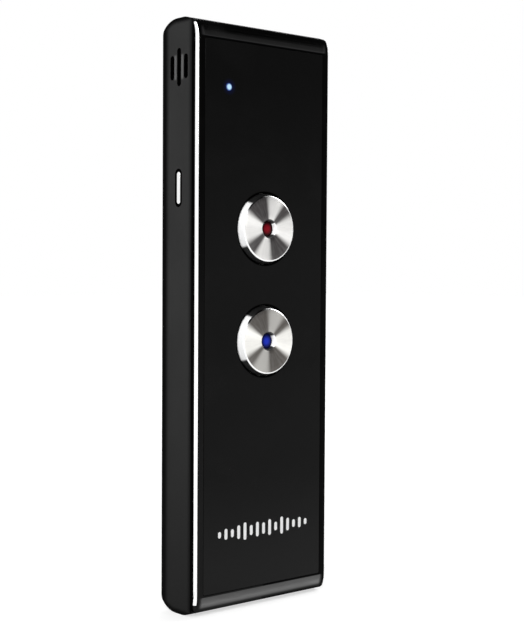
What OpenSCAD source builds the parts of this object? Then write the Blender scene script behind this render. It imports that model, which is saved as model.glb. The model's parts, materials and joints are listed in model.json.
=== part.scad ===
// Slim upright handheld translator.
// The front faces -Y, the power button is on the left (-X), Z runs up the long side from the foot.
// A "depth" is a distance behind the front face, towards +Y.

/* [Body] */
// Width from side to side
body_w = 42; // [38:0.5:50]
// Thickness from the front face to the flat back
body_d = 14; // [13.5:0.1:18]
// Height from foot to top
body_h = 140; // [136:1:160]
// Wall of the rear housing
wall = 1.5; // [1.2:0.1:1.8]
// Radius of the front frame's four corners
corner_r = 1.8; // [1:0.1:4]
// Radius of the long edges at the back
rear_edge_r = 1.3; // [0.8:0.1:2.5]
// Radius inside those edges
inner_edge_r = 0.8; // [0.4:0.1:1.5]

/* [Rounded ends] */
// Depth at which the front edge of each end lies
end_edge_depth = 1; // [0.6:0.1:1.3]
// How far that edge lies short of the full height
end_edge_drop = 1.1; // [0.5:0.1:1.8]
// Depth at which the flat land of each end starts
land_start = 4.5; // [3:0.1:5]
// Depth at which it stops and the rear rounding begins
land_stop = 7.5; // [7:0.1:9]
// Height of the rear rounding
rear_drop = 5.2; // [3:0.1:6]
// Height of the sloped band at each end of the front
end_band = 4.9; // [3.5:0.1:6]

/* [Front frame] */
// Height of the frame that shows on the side
frame_side = 1.7; // [1.4:0.1:2]
// Shadow gap between frame and rear housing
seam_gap = 0.2; // [0.1:0.05:0.4]
// How far the lip reaches into the rear housing
lip_h = 1.3; // [0.8:0.1:1.5]
// Thickness of the lip
lip_t = 0.9; // [0.6:0.1:1.2]
// Gap between the lip and the wall round it
lip_gap = 0.1; // [0.05:0.05:0.3]
// Thickness of the web behind the panel
web_t = 1; // [0.8:0.1:1.4]
// Leg of the bright chamfer on the long edges
chamfer = 0.63; // [0.5:0.01:0.9]
// Distance from each end at which the bright strips stop
strip_end = 2.6; // [2.2:0.1:4]
// Thickness of the tongue that holds a strip
tongue_t = 0.35; // [0.2:0.05:0.5]
// Length of the tongue
tongue_l = 0.5; // [0.3:0.05:0.55]

/* [Snap hooks] */
// Length of a hook on the lip
hook_l = 7; // [4:0.5:10]
// Thickness of a hook, front to back
hook_t = 0.5; // [0.3:0.05:0.7]
// How far a hook stands into its pocket
hook_bite = 0.25; // [0.15:0.05:0.4]
// Play of a hook in its pocket
hook_play = 0.1; // [0.05:0.05:0.2]
// Height of the lowest hook
hook_low = 24; // [18:1:30]
// Distance of the highest hook below the top
hook_from_top = 30; // [28:1:34]
// Hooks on each side
hook_count = 3; // [2:1:3]

/* [Front panel] */
// Thickness of the glossy panel
panel_t = 1; // [0.8:0.05:1.1]
// Width of the frame that shows beside the panel
panel_margin_x = 2.45; // [2.2:0.05:3]
// Height of the frame above and below the panel
panel_margin_z = 5.1; // [5:0.1:6.5]
// Radius of the panel's corners
panel_corner_r = 0.5; // [0.3:0.1:2]
// Gap round the panel
panel_gap = 0.12; // [0.05:0.01:0.2]
// Thickness of the adhesive film
film_t = 0.15; // [0.05:0.01:0.2]
// How far the film's edge stays inside the panel's
film_inset = 0.5; // [0.2:0.1:1]

/* [Front buttons] */
// Diameter of the metal cap
cap_d = 16.8; // [14:0.1:18]
// How far the cap stands out of the panel
cap_proud = 1.5; // [1.2:0.1:2.4]
// Gap round the cap
cap_gap = 0.25; // [0.1:0.01:0.35]
// Thickness of the cap's face
cap_face_t = 1.2; // [1:0.05:1.4]
// Wall of the cap's skirt
cap_wall = 0.8; // [0.5:0.05:1.2]
// How far the edge of the face stays inside the skirt
cap_taper = 0.5; // [0.2:0.05:0.6]
// Depth of the skirt's foot behind the front face
skirt_foot = 1.5; // [1.2:0.05:1.8]
// Height of the red button's centre below the top
red_from_top = 48.7; // [40:0.1:55]
// Height between the two buttons
button_pitch = 27; // [22:0.5:32]
// Diameter of the coloured dot
dot_d = 4.1; // [3:0.1:5]
// How deep the dot is sunk in the cap
dot_sink = 0.8; // [0.4:0.05:0.9]
// Countersink of the dot's hole
dot_edge = 0.35; // [0.2:0.05:0.5]
// Gap round the lens
lens_gap = 0.05; // [0.03:0.01:0.1]
// Width of the lens's hidden rim
lens_rim = 1; // [0.5:0.1:1.5]
// Thickness of that rim
lens_rim_t = 0.6; // [0.4:0.05:0.8]
// Travel of the front buttons
press_travel = 0.4; // [0.3:0.05:0.4]

/* [Button carriers and switches] */
// Gap between the carrier's flange and the web
flange_gap = 0.25; // [0.15:0.05:0.4]
// Thickness of the flange
flange_t = 0.6; // [0.4:0.05:0.8]
// How far the flange reaches past the cap
flange_reach = 1; // [0.8:0.1:1.6]
// Length of the nib on the flange
nib_l = 0.4; // [0.3:0.05:0.6]
// Diameter of the nib
nib_d = 2.8; // [2:0.1:3.4]
// Free play before a switch is touched
press_gap = 0.05; // [0.03:0.01:0.1]
// How far a plunger stands out of its switch
plunger_proud = 0.5; // [0.45:0.05:0.7]
// Diameter of the plunger
plunger_d = 2.2; // [1.6:0.1:2.6]
// Running gap round the plunger
plunger_gap = 0.05; // [0.03:0.01:0.08]
// Collar that keeps the plunger in
collar_d = 3.4; // [3:0.1:3.6]
// Thickness of the collar
collar_t = 0.2; // [0.15:0.05:0.25]
// Width of a switch
switch_w = 4.8; // [4.4:0.1:6]
// Height of a switch above the board
switch_h = 1.6; // [1.5:0.05:2]
// Thickness of a switch's steel cover
switch_cover_t = 0.2; // [0.15:0.05:0.3]
// Floor of a switch
switch_floor = 0.2; // [0.15:0.05:0.25]
// Diameter of the snap dome
dome_d = 3.7; // [3:0.1:4]
// Diameter of the chamber that holds it
chamber_d = 4; // [3.9:0.1:4.2]
// Height of the dome when pressed
dome_h = 0.15; // [0.1:0.01:0.2]
// Diameter of the dome's flat crown
dome_crown_d = 1.8; // [1.4:0.1:2.2]
// Thickness of the dome's sheet
dome_t = 0.08; // [0.05:0.01:0.1]

/* [Status light] */
// Distance of the light from the left side
light_from_side = 9.6; // [8:0.1:13]
// Distance of the light below the top
light_from_top = 15.8; // [12:0.1:20]
// Diameter of the light pipe
light_d = 1.8; // [1.2:0.1:2.4]
// Gap round it
light_gap = 0.08; // [0.05:0.01:0.2]
// Width of its hidden rim
light_rim = 0.7; // [0.4:0.1:1]
// Thickness of that rim
light_rim_t = 0.5; // [0.3:0.05:0.8]
// Length, width and height of the chip light
led_l = 1.6; // [1.2:0.1:2]
led_w = 0.8; // [0.6:0.1:1.2]
led_h = 0.7; // [0.5:0.05:0.9]
// Gap between chip light and light pipe
led_gap = 0.2; // [0.1:0.05:0.3]

/* [Sound slots] */
// Width of a slot
slot_w = 1.45; // [0.8:0.05:1.6]
// Distance from slot to slot
slot_pitch = 2.6; // [2.2:0.1:2.6]
// Length of the middle slot
slot_long = 8.8; // [7:0.1:9.6]
// Length of the outer slots
slot_short = 5.6; // [4:0.1:7]
// Depth of the middle slot
slot_depth = 6.9; // [6.5:0.1:7]
// Height of the slots' middle below the top
slots_from_top = 11.45; // [11.2:0.05:14]

/* [Speaker] */
// Thickness of the dust mesh
mesh_t = 0.15; // [0.1:0.01:0.25]
// Thickness of the foam ring
gasket_t = 0.6; // [0.4:0.05:1]
// Width of the foam ring
gasket_w = 0.8; // [0.6:0.1:1]
// Size of the speaker: along the height, front to back, and inwards
speaker_h = 14; // [12:0.5:16]
speaker_w = 8; // [8:0.1:8.3]
speaker_t = 3.4; // [2.5:0.1:4]
// Rim of the speaker's body round its cone
speaker_rim = 0.7; // [0.5:0.1:1]
// How far the cone sits below the rim
cone_sink = 0.3; // [0.2:0.05:0.5]
// Thickness of the cone
cone_t = 0.3; // [0.2:0.05:0.5]
// Clearance between the speaker and what it doesn't touch
speaker_clear = 0.4; // [0.3:0.05:0.5]

/* [Power button] */
// Length of the bright bar
bar_l = 7.5; // [6:0.1:9]
// Width of the bar
bar_w = 1.2; // [1.2:0.1:2]
// Gap round the bar
bar_gap = 0.15; // [0.1:0.01:0.25]
// Margin of the recess round the bar's opening
recess_margin = 0.55; // [0.3:0.05:0.8]
// Depth of the recess
recess_d = 0.5; // [0.3:0.05:0.7]
// Depth of the bar's centre behind the front face
bar_depth = 7; // [6.6:0.1:7]
// Height of the bar's centre below the top
bar_from_top = 39.5; // [36:0.5:46]
// How far the flange reaches past the opening
bar_flange = 0.75; // [0.5:0.05:1]
// Thickness of the flange
bar_flange_t = 0.7; // [0.5:0.05:0.9]
// Gap between flange and wall
bar_flange_gap = 0.25; // [0.15:0.05:0.3]
// Length of the stem on the flange
stem_l = 0.5; // [0.45:0.05:0.7]
// Travel of the power button
bar_travel = 0.3; // [0.2:0.05:0.35]
// Length, height and reach of the side switch
side_switch_l = 4.7; // [4.4:0.1:5.5]
side_switch_h = 1.7; // [1.6:0.05:2]
side_switch_w = 3.5; // [3:0.1:4]
// Length and thickness of the side plunger
side_plunger_l = 2.2; // [1.8:0.1:2.6]
side_plunger_t = 0.9; // [0.7:0.05:1]
// How far the side plunger stands out
side_plunger_proud = 0.45; // [0.4:0.05:0.6]
// How far it reaches into the switch
side_plunger_root = 1; // [0.8:0.1:1.3]

/* [Main board] */
// Thickness of the board
board_t = 1; // [0.8:0.05:1.2]
// Gap between the board's long edges and the housing
board_side_gap = 1.7; // [1.6:0.1:2.2]
// Gap between the board's ends and the housing
board_end_gap = 0.6; // [0.4:0.1:1.2]
// Diameter of a screw boss
boss_d = 4.4; // [3.6:0.1:5]
// Distance of the screws from the board's edges
screw_edge = 2.6; // [2.4:0.1:3]
// Height of the lower screws above the foot
screw_low = 9.5; // [8:0.5:14]
// Height of the upper screws below the top
screw_from_top = 26; // [24:0.5:30]
// Diameter of the screw's shank
screw_d = 1.6; // [1.4:0.1:2]
// Radial gap round the shank
screw_gap = 0.05; // [0.03:0.01:0.08]
// Diameter of the screw's head
screw_head_d = 2.8; // [2.6:0.1:3.4]
// Height of the head
screw_head_h = 0.8; // [0.6:0.05:1]
// Length of the shank
screw_l = 5; // [4:0.5:5.5]
// Room left beyond the screw's tip
screw_tip_gap = 0.4; // [0.2:0.1:0.6]
// Width of the cross in the head
cross_w = 0.3; // [0.2:0.05:0.4]

/* [Chips] */
// Side of the processor
processor_w = 8; // [6:0.5:9]
// Height of the processor
processor_h = 0.9; // [0.7:0.1:1.4]
// Length and width of the memory
memory_l = 8; // [6:0.5:9]
memory_w = 6; // [5:0.5:7]
// Height of the memory
memory_h = 0.8; // [0.6:0.1:1.2]
// Length, width and height of the shield can
can_l = 14; // [12:0.5:16]
can_w = 13; // [11:0.5:15]
can_h = 1.6; // [1.4:0.1:2]
// Sheet of the shield can
can_sheet = 0.2; // [0.15:0.05:0.3]
// Length, width and height of the antenna
antenna_l = 7; // [5:0.5:9]
antenna_w = 2; // [1.6:0.1:3]
antenna_h = 1; // [0.8:0.1:1.4]
// Length, width and height of the crystal
crystal_l = 3.2; // [2.5:0.1:4]
crystal_w = 2.5; // [2:0.1:3]
crystal_h = 0.8; // [0.6:0.1:1]
// Side of the power coil
coil_w = 4; // [3:0.5:5]
// Height of the power coil
coil_h = 1.8; // [1.5:0.1:2.2]
// Places of these parts: distance right of the middle and below the top
processor_x = 2; // [0:0.5:4]
processor_from_top = 38; // [36:0.5:40]
memory_x = 2; // [0:0.5:4]
memory_from_top = 49; // [48:0.5:51]
can_x = 2; // [0:0.5:3]
can_from_top = 20; // [18:0.5:22]
antenna_x = 6; // [4:0.5:8]
antenna_from_top = 6; // [5:0.5:8]
crystal_x = 9.5; // [9:0.5:12]
crystal_from_top = 36; // [34:0.5:38]
coil_x = -8; // [-10:0.5:-6]
coil_from_top = 50; // [48:0.5:54]

/* [Charging socket] */
// Width of the socket's metal shell
socket_w = 7.6; // [7:0.1:9]
// Height of the shell off the board
socket_h = 2.6; // [2.4:0.1:3.2]
// Length of the shell
socket_l = 5.4; // [5:0.1:7]
// Sheet of the shell
socket_sheet = 0.3; // [0.2:0.05:0.4]
// Size of the slanted corners
socket_slant = 0.8; // [0.5:0.1:1]
// How far the mouth sits above the foot
socket_sink = 0.4; // [0.2:0.1:0.8]
// Gap between the shell and its opening
socket_gap = 0.25; // [0.15:0.05:0.35]
// Width, thickness and length of the tongue
tongue_w = 4; // [3:0.1:5]
tongue_h = 0.6; // [0.5:0.05:0.8]
tongue_len = 3.4; // [3:0.1:4]

/* [Microphone] */
// Distance of the microphone from the right side
mic_from_side = 10; // [8:0.5:12]
// Diameter of the capsule
mic_d = 3; // [2.4:0.1:4]
// Height of the capsule
mic_h = 1.2; // [1:0.1:2]
// Wall of the rubber boot
boot_wall = 0.4; // [0.3:0.05:0.5]
// Floor of the rubber boot
boot_floor = 0.6; // [0.4:0.05:0.8]
// Height of the seat under the boot
mic_seat = 1.8; // [1.7:0.1:2.4]
// Diameter of the sound hole
mic_hole_d = 1; // [0.8:0.1:1.4]

/* [Battery] */
// Width and height of the cell
cell_w = 29; // [24:0.5:30]
cell_h = 52; // [44:1:56]
// Gap between the cell and the board
cell_gap = 0.75; // [0.5:0.05:1.5]
// Radius of the cell's long edges
cell_edge_r = 1; // [0.6:0.1:1.6]
// Height of the cell's lower edge above the foot
cell_from_foot = 16; // [15:0.5:20]
// Thickness of the foam pad behind the cell
pad_t = 0.8; // [0.6:0.1:1]
// Inset of the pad from the cell's outline
pad_inset = 3; // [2:0.5:6]
// Gap between the cell and the ribs beside it
rib_gap = 0.3; // [0.2:0.1:0.5]
// Thickness of those ribs
rib_t = 0.8; // [0.6:0.1:1]
// Height of those ribs
rib_h = 3; // [2:0.1:3.5]
// Length, width and height of the battery's plug
plug_l = 4.5; // [4:0.5:6]
plug_w = 3; // [2.5:0.1:4]
plug_h = 2; // [1.8:0.1:2.4]
// Distance of the plug above the cell
plug_above = 5; // [4:0.5:7]
// Distance of the plug right of the middle
plug_right = 9; // [6:0.5:10]

/* [Leads] */
// Diameter of a lead
lead_d = 0.8; // [0.6:0.05:1]
// Distance between the two leads of a pair
lead_pitch = 1.4; // [1.2:0.1:1.8]
// How far behind the board the speaker's leads run
lead_stand = 1.7; // [1.5:0.1:2.5]
// How far below and beside the speaker they reach the board
lead_reach = 2.8; // [2:0.1:4]

/* [Hidden] */
$fn = 64;
// Sides of the arcs in the end's outline
arc_steps = 14;
// Cutters reach this far past what they cut
over = 1;
front_y = -(body_d - cap_proud) / 2;
half_w = body_w / 2;
wall_x = half_w - wall;
cavity_back = body_d - wall;
shell_front = frame_side + seam_gap;
panel_w = body_w - 2 * panel_margin_x;
panel_h = body_h - 2 * panel_margin_z;
mid_z = body_h / 2;
film_front = panel_t;
web_front = panel_t + film_t;
web_back = web_front + web_t;
lip_back = shell_front + lip_h;
lip_w = 2 * (wall_x - lip_gap);
red_z = body_h - red_from_top;
blue_z = red_z - button_pitch;
cap_hole_d = cap_d + 2 * cap_gap;
cap_inner_d = cap_d - 2 * cap_wall;
cap_face_back = cap_face_t - cap_proud;
lens_rim_back = cap_face_back + lens_rim_t;
flange_front = web_back + flange_gap;
flange_back = flange_front + flange_t;
nib_back = flange_back + nib_l;
plunger_front = nib_back + press_gap;
switch_front = plunger_front + plunger_proud;
board_front = switch_front + switch_h;
board_back = board_front + board_t;
dome_back = board_front - switch_floor;
plunger_back = dome_back - dome_h - press_gap - press_travel;
light_x = light_from_side - half_w;
light_z = body_h - light_from_top;
led_front = board_front - led_h;
slots_z = body_h - slots_from_top;
speaker_face = -wall_x + mesh_t + gasket_t;
speaker_back = speaker_face + speaker_t;
bar_z = body_h - bar_from_top;
bar_hole_l = bar_l + 2 * bar_gap;
bar_hole_w = bar_w + 2 * bar_gap;
bar_flange_x = -wall_x + bar_flange_gap;
stem_x = bar_flange_x + bar_flange_t;
side_plunger_x = stem_x + stem_l + press_gap;
side_switch_x = side_plunger_x + side_plunger_proud;
side_push_depth = board_back + side_switch_h / 2;
board_w = 2 * (wall_x - board_side_gap);
board_notch_x = speaker_back + speaker_clear;
board_notch_z = slots_z - speaker_h / 2 - speaker_clear;
screw_x = board_w / 2 - screw_edge;
screw_high = body_h - screw_from_top;
socket_depth = board_back + socket_h / 2;
mic_right = half_w - mic_from_side;
mic_depth = (board_back + cavity_back) / 2;
mic_seat_z = wall + mic_seat;
boot_d = mic_d + 2 * boot_wall;
cell_back = cavity_back - pad_t;
cell_front = board_back + cell_gap;
cell_t = cell_back - cell_front;
cell_z = cell_from_foot + cell_h / 2;
cell_top = cell_from_foot + cell_h;
plug_z = cell_top + plug_above;
hook_depth = lip_back - hook_t;
hook_pitch = (body_h - hook_from_top - hook_low) / (hook_count - 1);
slope_angle = atan2(end_edge_depth, end_band - end_edge_drop);
slope_l = norm([end_edge_depth, end_band - end_edge_drop]);

// ---- Outlines -------------------------------------------------------------------------------

// How far an end lies short of the full height, on the ramp in front of its land
function ramp_drop(depth) = end_edge_drop * (land_start - depth) / (land_start - end_edge_depth);

// Quarter ellipse from the land to the back, for an outline moved inwards by inset
function rear_arc(inset) = [for (i = [0:arc_steps]) let (t = 90 * i / arc_steps)
    [land_stop + (body_d - inset - land_stop) * sin(t), rear_drop - (rear_drop - inset) * cos(t)]];

// The lower half of the side outline turned over to make the upper half
function turned_over(points) = [for (i = [len(points) - 1:-1:0]) [points[i][0], body_h - points[i][1]]];

function outer_foot() = concat([[0, end_band], [end_edge_depth, end_edge_drop], [land_start, 0]],
    rear_arc(0));

function inner_foot() = concat([[-over, wall + ramp_drop(-over)], [land_start, wall]], rear_arc(wall));

module rounded_rect(w, h, r) {
    square([w - 2 * r, h], center = true);
    square([w, h - 2 * r], center = true);
    for (sx = [-1, 1])
        for (sy = [-1, 1])
            translate([sx * (w / 2 - r), sy * (h / 2 - r)]) circle(r = r);
}

// A bar with round ends, long in the second direction
module stadium(w, l) {
    square([w, l - w], center = true);
    for (s = [-1, 1])
        translate([0, s * (l - w) / 2]) circle(d = w);
}

// Width and thickness outline, with round edges at the back only
module plan_outline(inset, r) {
    w = body_w - 2 * inset;
    back = body_d - inset;
    translate([-w / 2, -over]) square([w, back - r + over]);
    translate([-w / 2 + r, -over]) square([w - 2 * r, back + over]);
    for (s = [-1, 1])
        translate([s * (w / 2 - r), back - r]) circle(r = r);
}

// ---- Placing --------------------------------------------------------------------------------

// An outline in X and Z, t thick, whose front is at this depth
module into(depth, t) {
    translate([0, front_y + depth + t, 0]) rotate([90, 0, 0]) linear_extrude(t) children();
}

// A round rod along the depth
module rod(depth, t, d) {
    translate([0, front_y + depth, 0]) rotate([-90, 0, 0]) cylinder(d = d, h = t);
}

// An outline in depth and Z, t long, from this X to the right
module across(x, t) {
    translate([x, front_y, 0]) rotate([90, 0, 90]) linear_extrude(t) children();
}

module at(x, z) {
    translate([x, 0, z]) children();
}

// A part on the back of the board
module on_board_back(x, z, w, l, h) {
    into(board_back, h) translate([x, z]) square([w, l], center = true);
}

// Both ends' outlines joined up the front and the back
module side_outline(foot) {
    polygon(concat(foot, turned_over(foot)));
}

module outer_form() {
    intersection() {
        across(-half_w, body_w) side_outline(outer_foot());
        union() {
            into(0, shell_front) translate([0, mid_z]) rounded_rect(body_w, body_h, corner_r);
            into(frame_side, body_d - frame_side) translate([0, mid_z])
                square([body_w, body_h], center = true);
        }
        translate([0, front_y, 0]) linear_extrude(body_h) plan_outline(0, rear_edge_r);
    }
}

module cavity_form() {
    intersection() {
        across(-wall_x, 2 * wall_x) side_outline(inner_foot());
        translate([0, front_y, 0]) linear_extrude(body_h) plan_outline(wall, inner_edge_r);
    }
}

// Runs an outline in X and depth along one long front edge: up the front and back along the bands
module along_edge() {
    translate([0, front_y, end_band]) linear_extrude(body_h - 2 * end_band) children();
    for (flip = [0, 1])
        translate([0, front_y, flip * body_h]) mirror([0, 0, flip]) translate([0, 0, end_band])
            rotate([slope_angle, 0, 0]) mirror([0, 0, 1]) linear_extrude(slope_l + over) children();
}

// Section of the left bright strip: a triangle under the chamfer, and its tongue
module strip_section() {
    inner = chamfer - half_w;
    polygon([[-half_w, chamfer], [inner, 0], [inner, chamfer - tongue_l],
        [inner + tongue_t, chamfer - tongue_l], [inner + tongue_t, chamfer]]);
}

// What the chamfer takes off the left edge
module chamfer_section() {
    polygon([[-half_w - over, chamfer + over], [chamfer - half_w + over, -over],
        [-half_w - over, -over]]);
}

module strip_run() {
    intersection() {
        along_edge() strip_section();
        translate([-body_w, -body_d, strip_end]) cube([body_w, 2 * body_d, body_h - 2 * strip_end]);
    }
}

module button_holes(depth, t, d) {
    for (z = [red_z, blue_z])
        at(0, z) rod(depth, t, d);
}

// ---- Housing and front ----------------------------------------------------------------------

module screw_places() {
    for (x = [-screw_x, screw_x])
        for (z = [screw_low, screw_high])
            at(x, z) children();
}

module hooks(play) {
    reach = lip_gap + hook_bite + play;
    for (side = [0, 1])
        for (i = [0:hook_count - 1])
            mirror([side, 0, 0])
                translate([lip_w / 2 - hook_bite, front_y + hook_depth - play,
                    hook_low + i * hook_pitch - hook_l / 2 - play])
                    cube([hook_bite + reach, hook_t + 2 * play, hook_l + 2 * play]);
}

module shell_walls() {
    difference() {
        outer_form();
        into(-over, shell_front + over) translate([0, mid_z])
            square([body_w + over, body_h + over], center = true);
        cavity_form();
    }
}

module shell_insides() {
    screw_places() rod(board_back, cavity_back - board_back + wall / 2, boss_d);
    for (side = [-1, 1])
        into(cavity_back - rib_h, rib_h + wall / 2)
            translate([side * (cell_w / 2 + rib_gap + rib_t / 2), cell_z])
                square([rib_t, cell_h], center = true);
    into(cavity_back - rib_h, rib_h + wall / 2)
        translate([0, cell_from_foot - rib_gap - rib_t / 2]) square([cell_w, rib_t], center = true);
    translate([mic_right, front_y + mic_depth, wall / 2])
        cylinder(d = boot_d, h = mic_seat_z - wall / 2);
}

module sound_slots() {
    across(-half_w - over, wall + 2 * over) translate([slot_depth, slots_z]) {
        stadium(slot_w, slot_long);
        for (side = [-1, 1])
            translate([side * slot_pitch, 0]) stadium(slot_w, slot_short);
    }
}

module power_recess() {
    across(-half_w - over, recess_d + over) translate([bar_depth, bar_z])
        stadium(bar_hole_w + 2 * recess_margin, bar_hole_l + 2 * recess_margin);
    across(-half_w - over, wall + 2 * over) translate([bar_depth, bar_z])
        stadium(bar_hole_w, bar_hole_l);
}

module socket_opening() {
    translate([0, front_y + socket_depth, -over]) linear_extrude(wall + 2 * over)
        rounded_rect(socket_w + 2 * socket_gap, socket_h + 2 * socket_gap, socket_slant);
}

module rear_housing() {
    color([0.13, 0.13, 0.135]) difference() {
        intersection() {
            union() {
                shell_walls();
                shell_insides();
            }
            outer_form();
        }
        sound_slots();
        power_recess();
        socket_opening();
        hooks(hook_play);
        translate([mic_right, front_y + mic_depth, -over])
            cylinder(d = mic_hole_d, h = mic_seat_z + 2 * over);
        screw_places()
            rod(board_back - over, over + screw_l - board_t + screw_tip_gap, screw_d + 2 * screw_gap);
    }
}

module frame_rim() {
    intersection() {
        outer_form();
        into(0, frame_side) translate([0, mid_z])
            square([body_w + over, body_h + over], center = true);
    }
}

module frame_lip() {
    foot = wall + ramp_drop(shell_front) + lip_gap;
    l = body_h - 2 * foot;
    difference() {
        into(web_front, lip_back - web_front) translate([0, mid_z])
            rounded_rect(lip_w, l, inner_edge_r);
        into(web_back, lip_back) translate([0, mid_z])
            rounded_rect(lip_w - 2 * lip_t, l - 2 * lip_t, inner_edge_r);
        into(web_back, lip_back) translate([-half_w, slots_z])
            square([2 * (half_w + board_notch_x), speaker_h + 2 * speaker_clear], center = true);
    }
}

module front_frame() {
    color([0.03, 0.03, 0.035]) difference() {
        union() {
            frame_rim();
            frame_lip();
            hooks(0);
        }
        into(-over, web_front + over) translate([0, mid_z])
            rounded_rect(panel_w + 2 * panel_gap, panel_h + 2 * panel_gap, panel_corner_r + panel_gap);
        button_holes(0, lip_back, cap_hole_d);
        at(light_x, light_z) rod(0, lip_back, light_d + 2 * light_gap);
        for (side = [0, 1])
            mirror([side, 0, 0]) {
                strip_run();
                along_edge() chamfer_section();
            }
    }
}

module trim_strip() {
    color([0.85, 0.86, 0.88]) difference() {
        intersection() {
            strip_run();
            outer_form();
        }
        along_edge() chamfer_section();
    }
}

module trim_strip_left() {
    trim_strip();
}

module trim_strip_right() {
    mirror([1, 0, 0]) trim_strip();
}

module front_panel() {
    color([0.02, 0.02, 0.022]) difference() {
        into(0, panel_t) translate([0, mid_z]) rounded_rect(panel_w, panel_h, panel_corner_r);
        button_holes(-over, panel_t + 2 * over, cap_hole_d);
        at(light_x, light_z) rod(-over, panel_t + 2 * over, light_d + 2 * light_gap);
    }
}

module panel_adhesive() {
    color([0.6, 0.6, 0.55]) difference() {
        into(film_front, film_t) translate([0, mid_z])
            rounded_rect(panel_w - 2 * film_inset, panel_h - 2 * film_inset, panel_corner_r);
        button_holes(0, lip_back, cap_hole_d + 2 * film_inset);
        at(light_x, light_z) rod(0, lip_back, light_d + 2 * light_gap);
    }
}

// ---- Front buttons --------------------------------------------------------------------------

// Turns a profile of radius and depth about the button's axis
module turned(z) {
    translate([0, front_y, z]) rotate([-90, 0, 0]) rotate_extrude() children();
}

module button_cap(z) {
    color([0.72, 0.71, 0.7]) turned(z) polygon([
        [dot_d / 2 + dot_edge, -cap_proud], [cap_d / 2 - cap_taper, -cap_proud],
        [cap_d / 2, 0], [cap_d / 2, skirt_foot],
        [cap_inner_d / 2, skirt_foot], [cap_inner_d / 2, cap_face_back],
        [dot_d / 2, cap_face_back], [dot_d / 2, dot_edge - cap_proud]]);
}

module button_lens(z) {
    lens_r = dot_d / 2 - lens_gap;
    rim_r = dot_d / 2 + lens_rim;
    turned(z) polygon([[0, dot_sink - cap_proud], [lens_r, dot_sink - cap_proud],
        [lens_r, cap_face_back], [rim_r, cap_face_back], [rim_r, lens_rim_back],
        [0, lens_rim_back]]);
}

module button_carrier(z) {
    plug_r = cap_inner_d / 2 - lens_gap;
    pocket_r = dot_d / 2 + lens_rim + lens_gap;
    flange_r = cap_hole_d / 2 + flange_reach;
    color([0.85, 0.85, 0.82]) turned(z) polygon([[0, lens_rim_back], [pocket_r, lens_rim_back],
        [pocket_r, cap_face_back], [plug_r, cap_face_back], [plug_r, skirt_foot],
        [cap_d / 2, skirt_foot], [cap_d / 2, flange_front], [flange_r, flange_front],
        [flange_r, flange_back], [nib_d / 2, flange_back], [nib_d / 2, nib_back], [0, nib_back]]);
}

module switch_plunger(z) {
    collar_front = switch_front + switch_cover_t + press_gap;
    color([0.1, 0.1, 0.1]) turned(z) polygon([[0, plunger_front], [plunger_d / 2, plunger_front],
        [plunger_d / 2, collar_front], [collar_d / 2, collar_front],
        [collar_d / 2, collar_front + collar_t], [plunger_d / 2, collar_front + collar_t],
        [plunger_d / 2, plunger_back], [0, plunger_back]]);
}

module switch_cover(z) {
    color([0.75, 0.75, 0.77]) difference() {
        into(switch_front, switch_cover_t) translate([0, z]) square(switch_w, center = true);
        at(0, z) rod(switch_front - over, switch_cover_t + 2 * over, plunger_d + 2 * plunger_gap);
    }
}

module switch_base(z) {
    base_front = switch_front + switch_cover_t;
    color([0.12, 0.12, 0.12]) difference() {
        into(base_front, board_front - base_front) translate([0, z]) square(switch_w, center = true);
        at(0, z) rod(base_front - over, dome_back - base_front + over, chamber_d);
    }
}

// A shallow dome of sheet metal, standing at its pressed height
module switch_dome(z) {
    crown = dome_back - dome_h;
    color([0.8, 0.78, 0.7]) turned(z) polygon([[0, crown], [dome_crown_d / 2, crown],
        [dome_d / 2, dome_back - dome_t], [dome_d / 2, dome_back],
        [dome_crown_d / 2, crown + dome_t], [0, crown + dome_t]]);
}

module red_button_cap() {
    button_cap(red_z);
}

module blue_button_cap() {
    button_cap(blue_z);
}

module red_button_lens() {
    color([0.6, 0.02, 0.06]) button_lens(red_z);
}

module blue_button_lens() {
    color([0.05, 0.12, 0.8]) button_lens(blue_z);
}

module red_button_carrier() {
    button_carrier(red_z);
}

module blue_button_carrier() {
    button_carrier(blue_z);
}

module red_switch_plunger() {
    switch_plunger(red_z);
}

module blue_switch_plunger() {
    switch_plunger(blue_z);
}

module red_switch_cover() {
    switch_cover(red_z);
}

module blue_switch_cover() {
    switch_cover(blue_z);
}

module red_switch_base() {
    switch_base(red_z);
}

module blue_switch_base() {
    switch_base(blue_z);
}

module red_switch_dome() {
    switch_dome(red_z);
}

module blue_switch_dome() {
    switch_dome(blue_z);
}

// ---- Power button ---------------------------------------------------------------------------

module power_button() {
    color([0.9, 0.9, 0.92]) {
        across(-half_w, bar_flange_x + half_w) translate([bar_depth, bar_z])
            stadium(bar_w, bar_l);
        across(bar_flange_x, bar_flange_t) translate([bar_depth, bar_z])
            stadium(bar_hole_w + 2 * bar_flange, bar_hole_l + 2 * bar_flange);
        across(stem_x, stem_l) translate([side_push_depth, bar_z])
            square([side_plunger_t, side_plunger_l], center = true);
    }
}

module power_switch_plunger() {
    color([0.1, 0.1, 0.1]) across(side_plunger_x, side_plunger_proud + side_plunger_root)
        translate([side_push_depth, bar_z])
            square([side_plunger_t, side_plunger_l], center = true);
}

module power_switch_body() {
    color([0.7, 0.7, 0.72]) difference() {
        across(side_switch_x, side_switch_w) translate([side_push_depth, bar_z])
            square([side_switch_h, side_switch_l], center = true);
        across(side_switch_x - over, over + side_plunger_root + bar_travel + press_gap)
            translate([side_push_depth, bar_z])
                square([side_plunger_t + 2 * plunger_gap, side_plunger_l + 2 * plunger_gap],
                    center = true);
    }
}

// ---- Status light ---------------------------------------------------------------------------

module led_light_pipe() {
    color([0.6, 0.85, 1]) at(light_x, light_z) {
        rod(0, led_front - led_gap, light_d);
        rod(web_back, light_rim_t, light_d + 2 * light_rim);
    }
}

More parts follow.
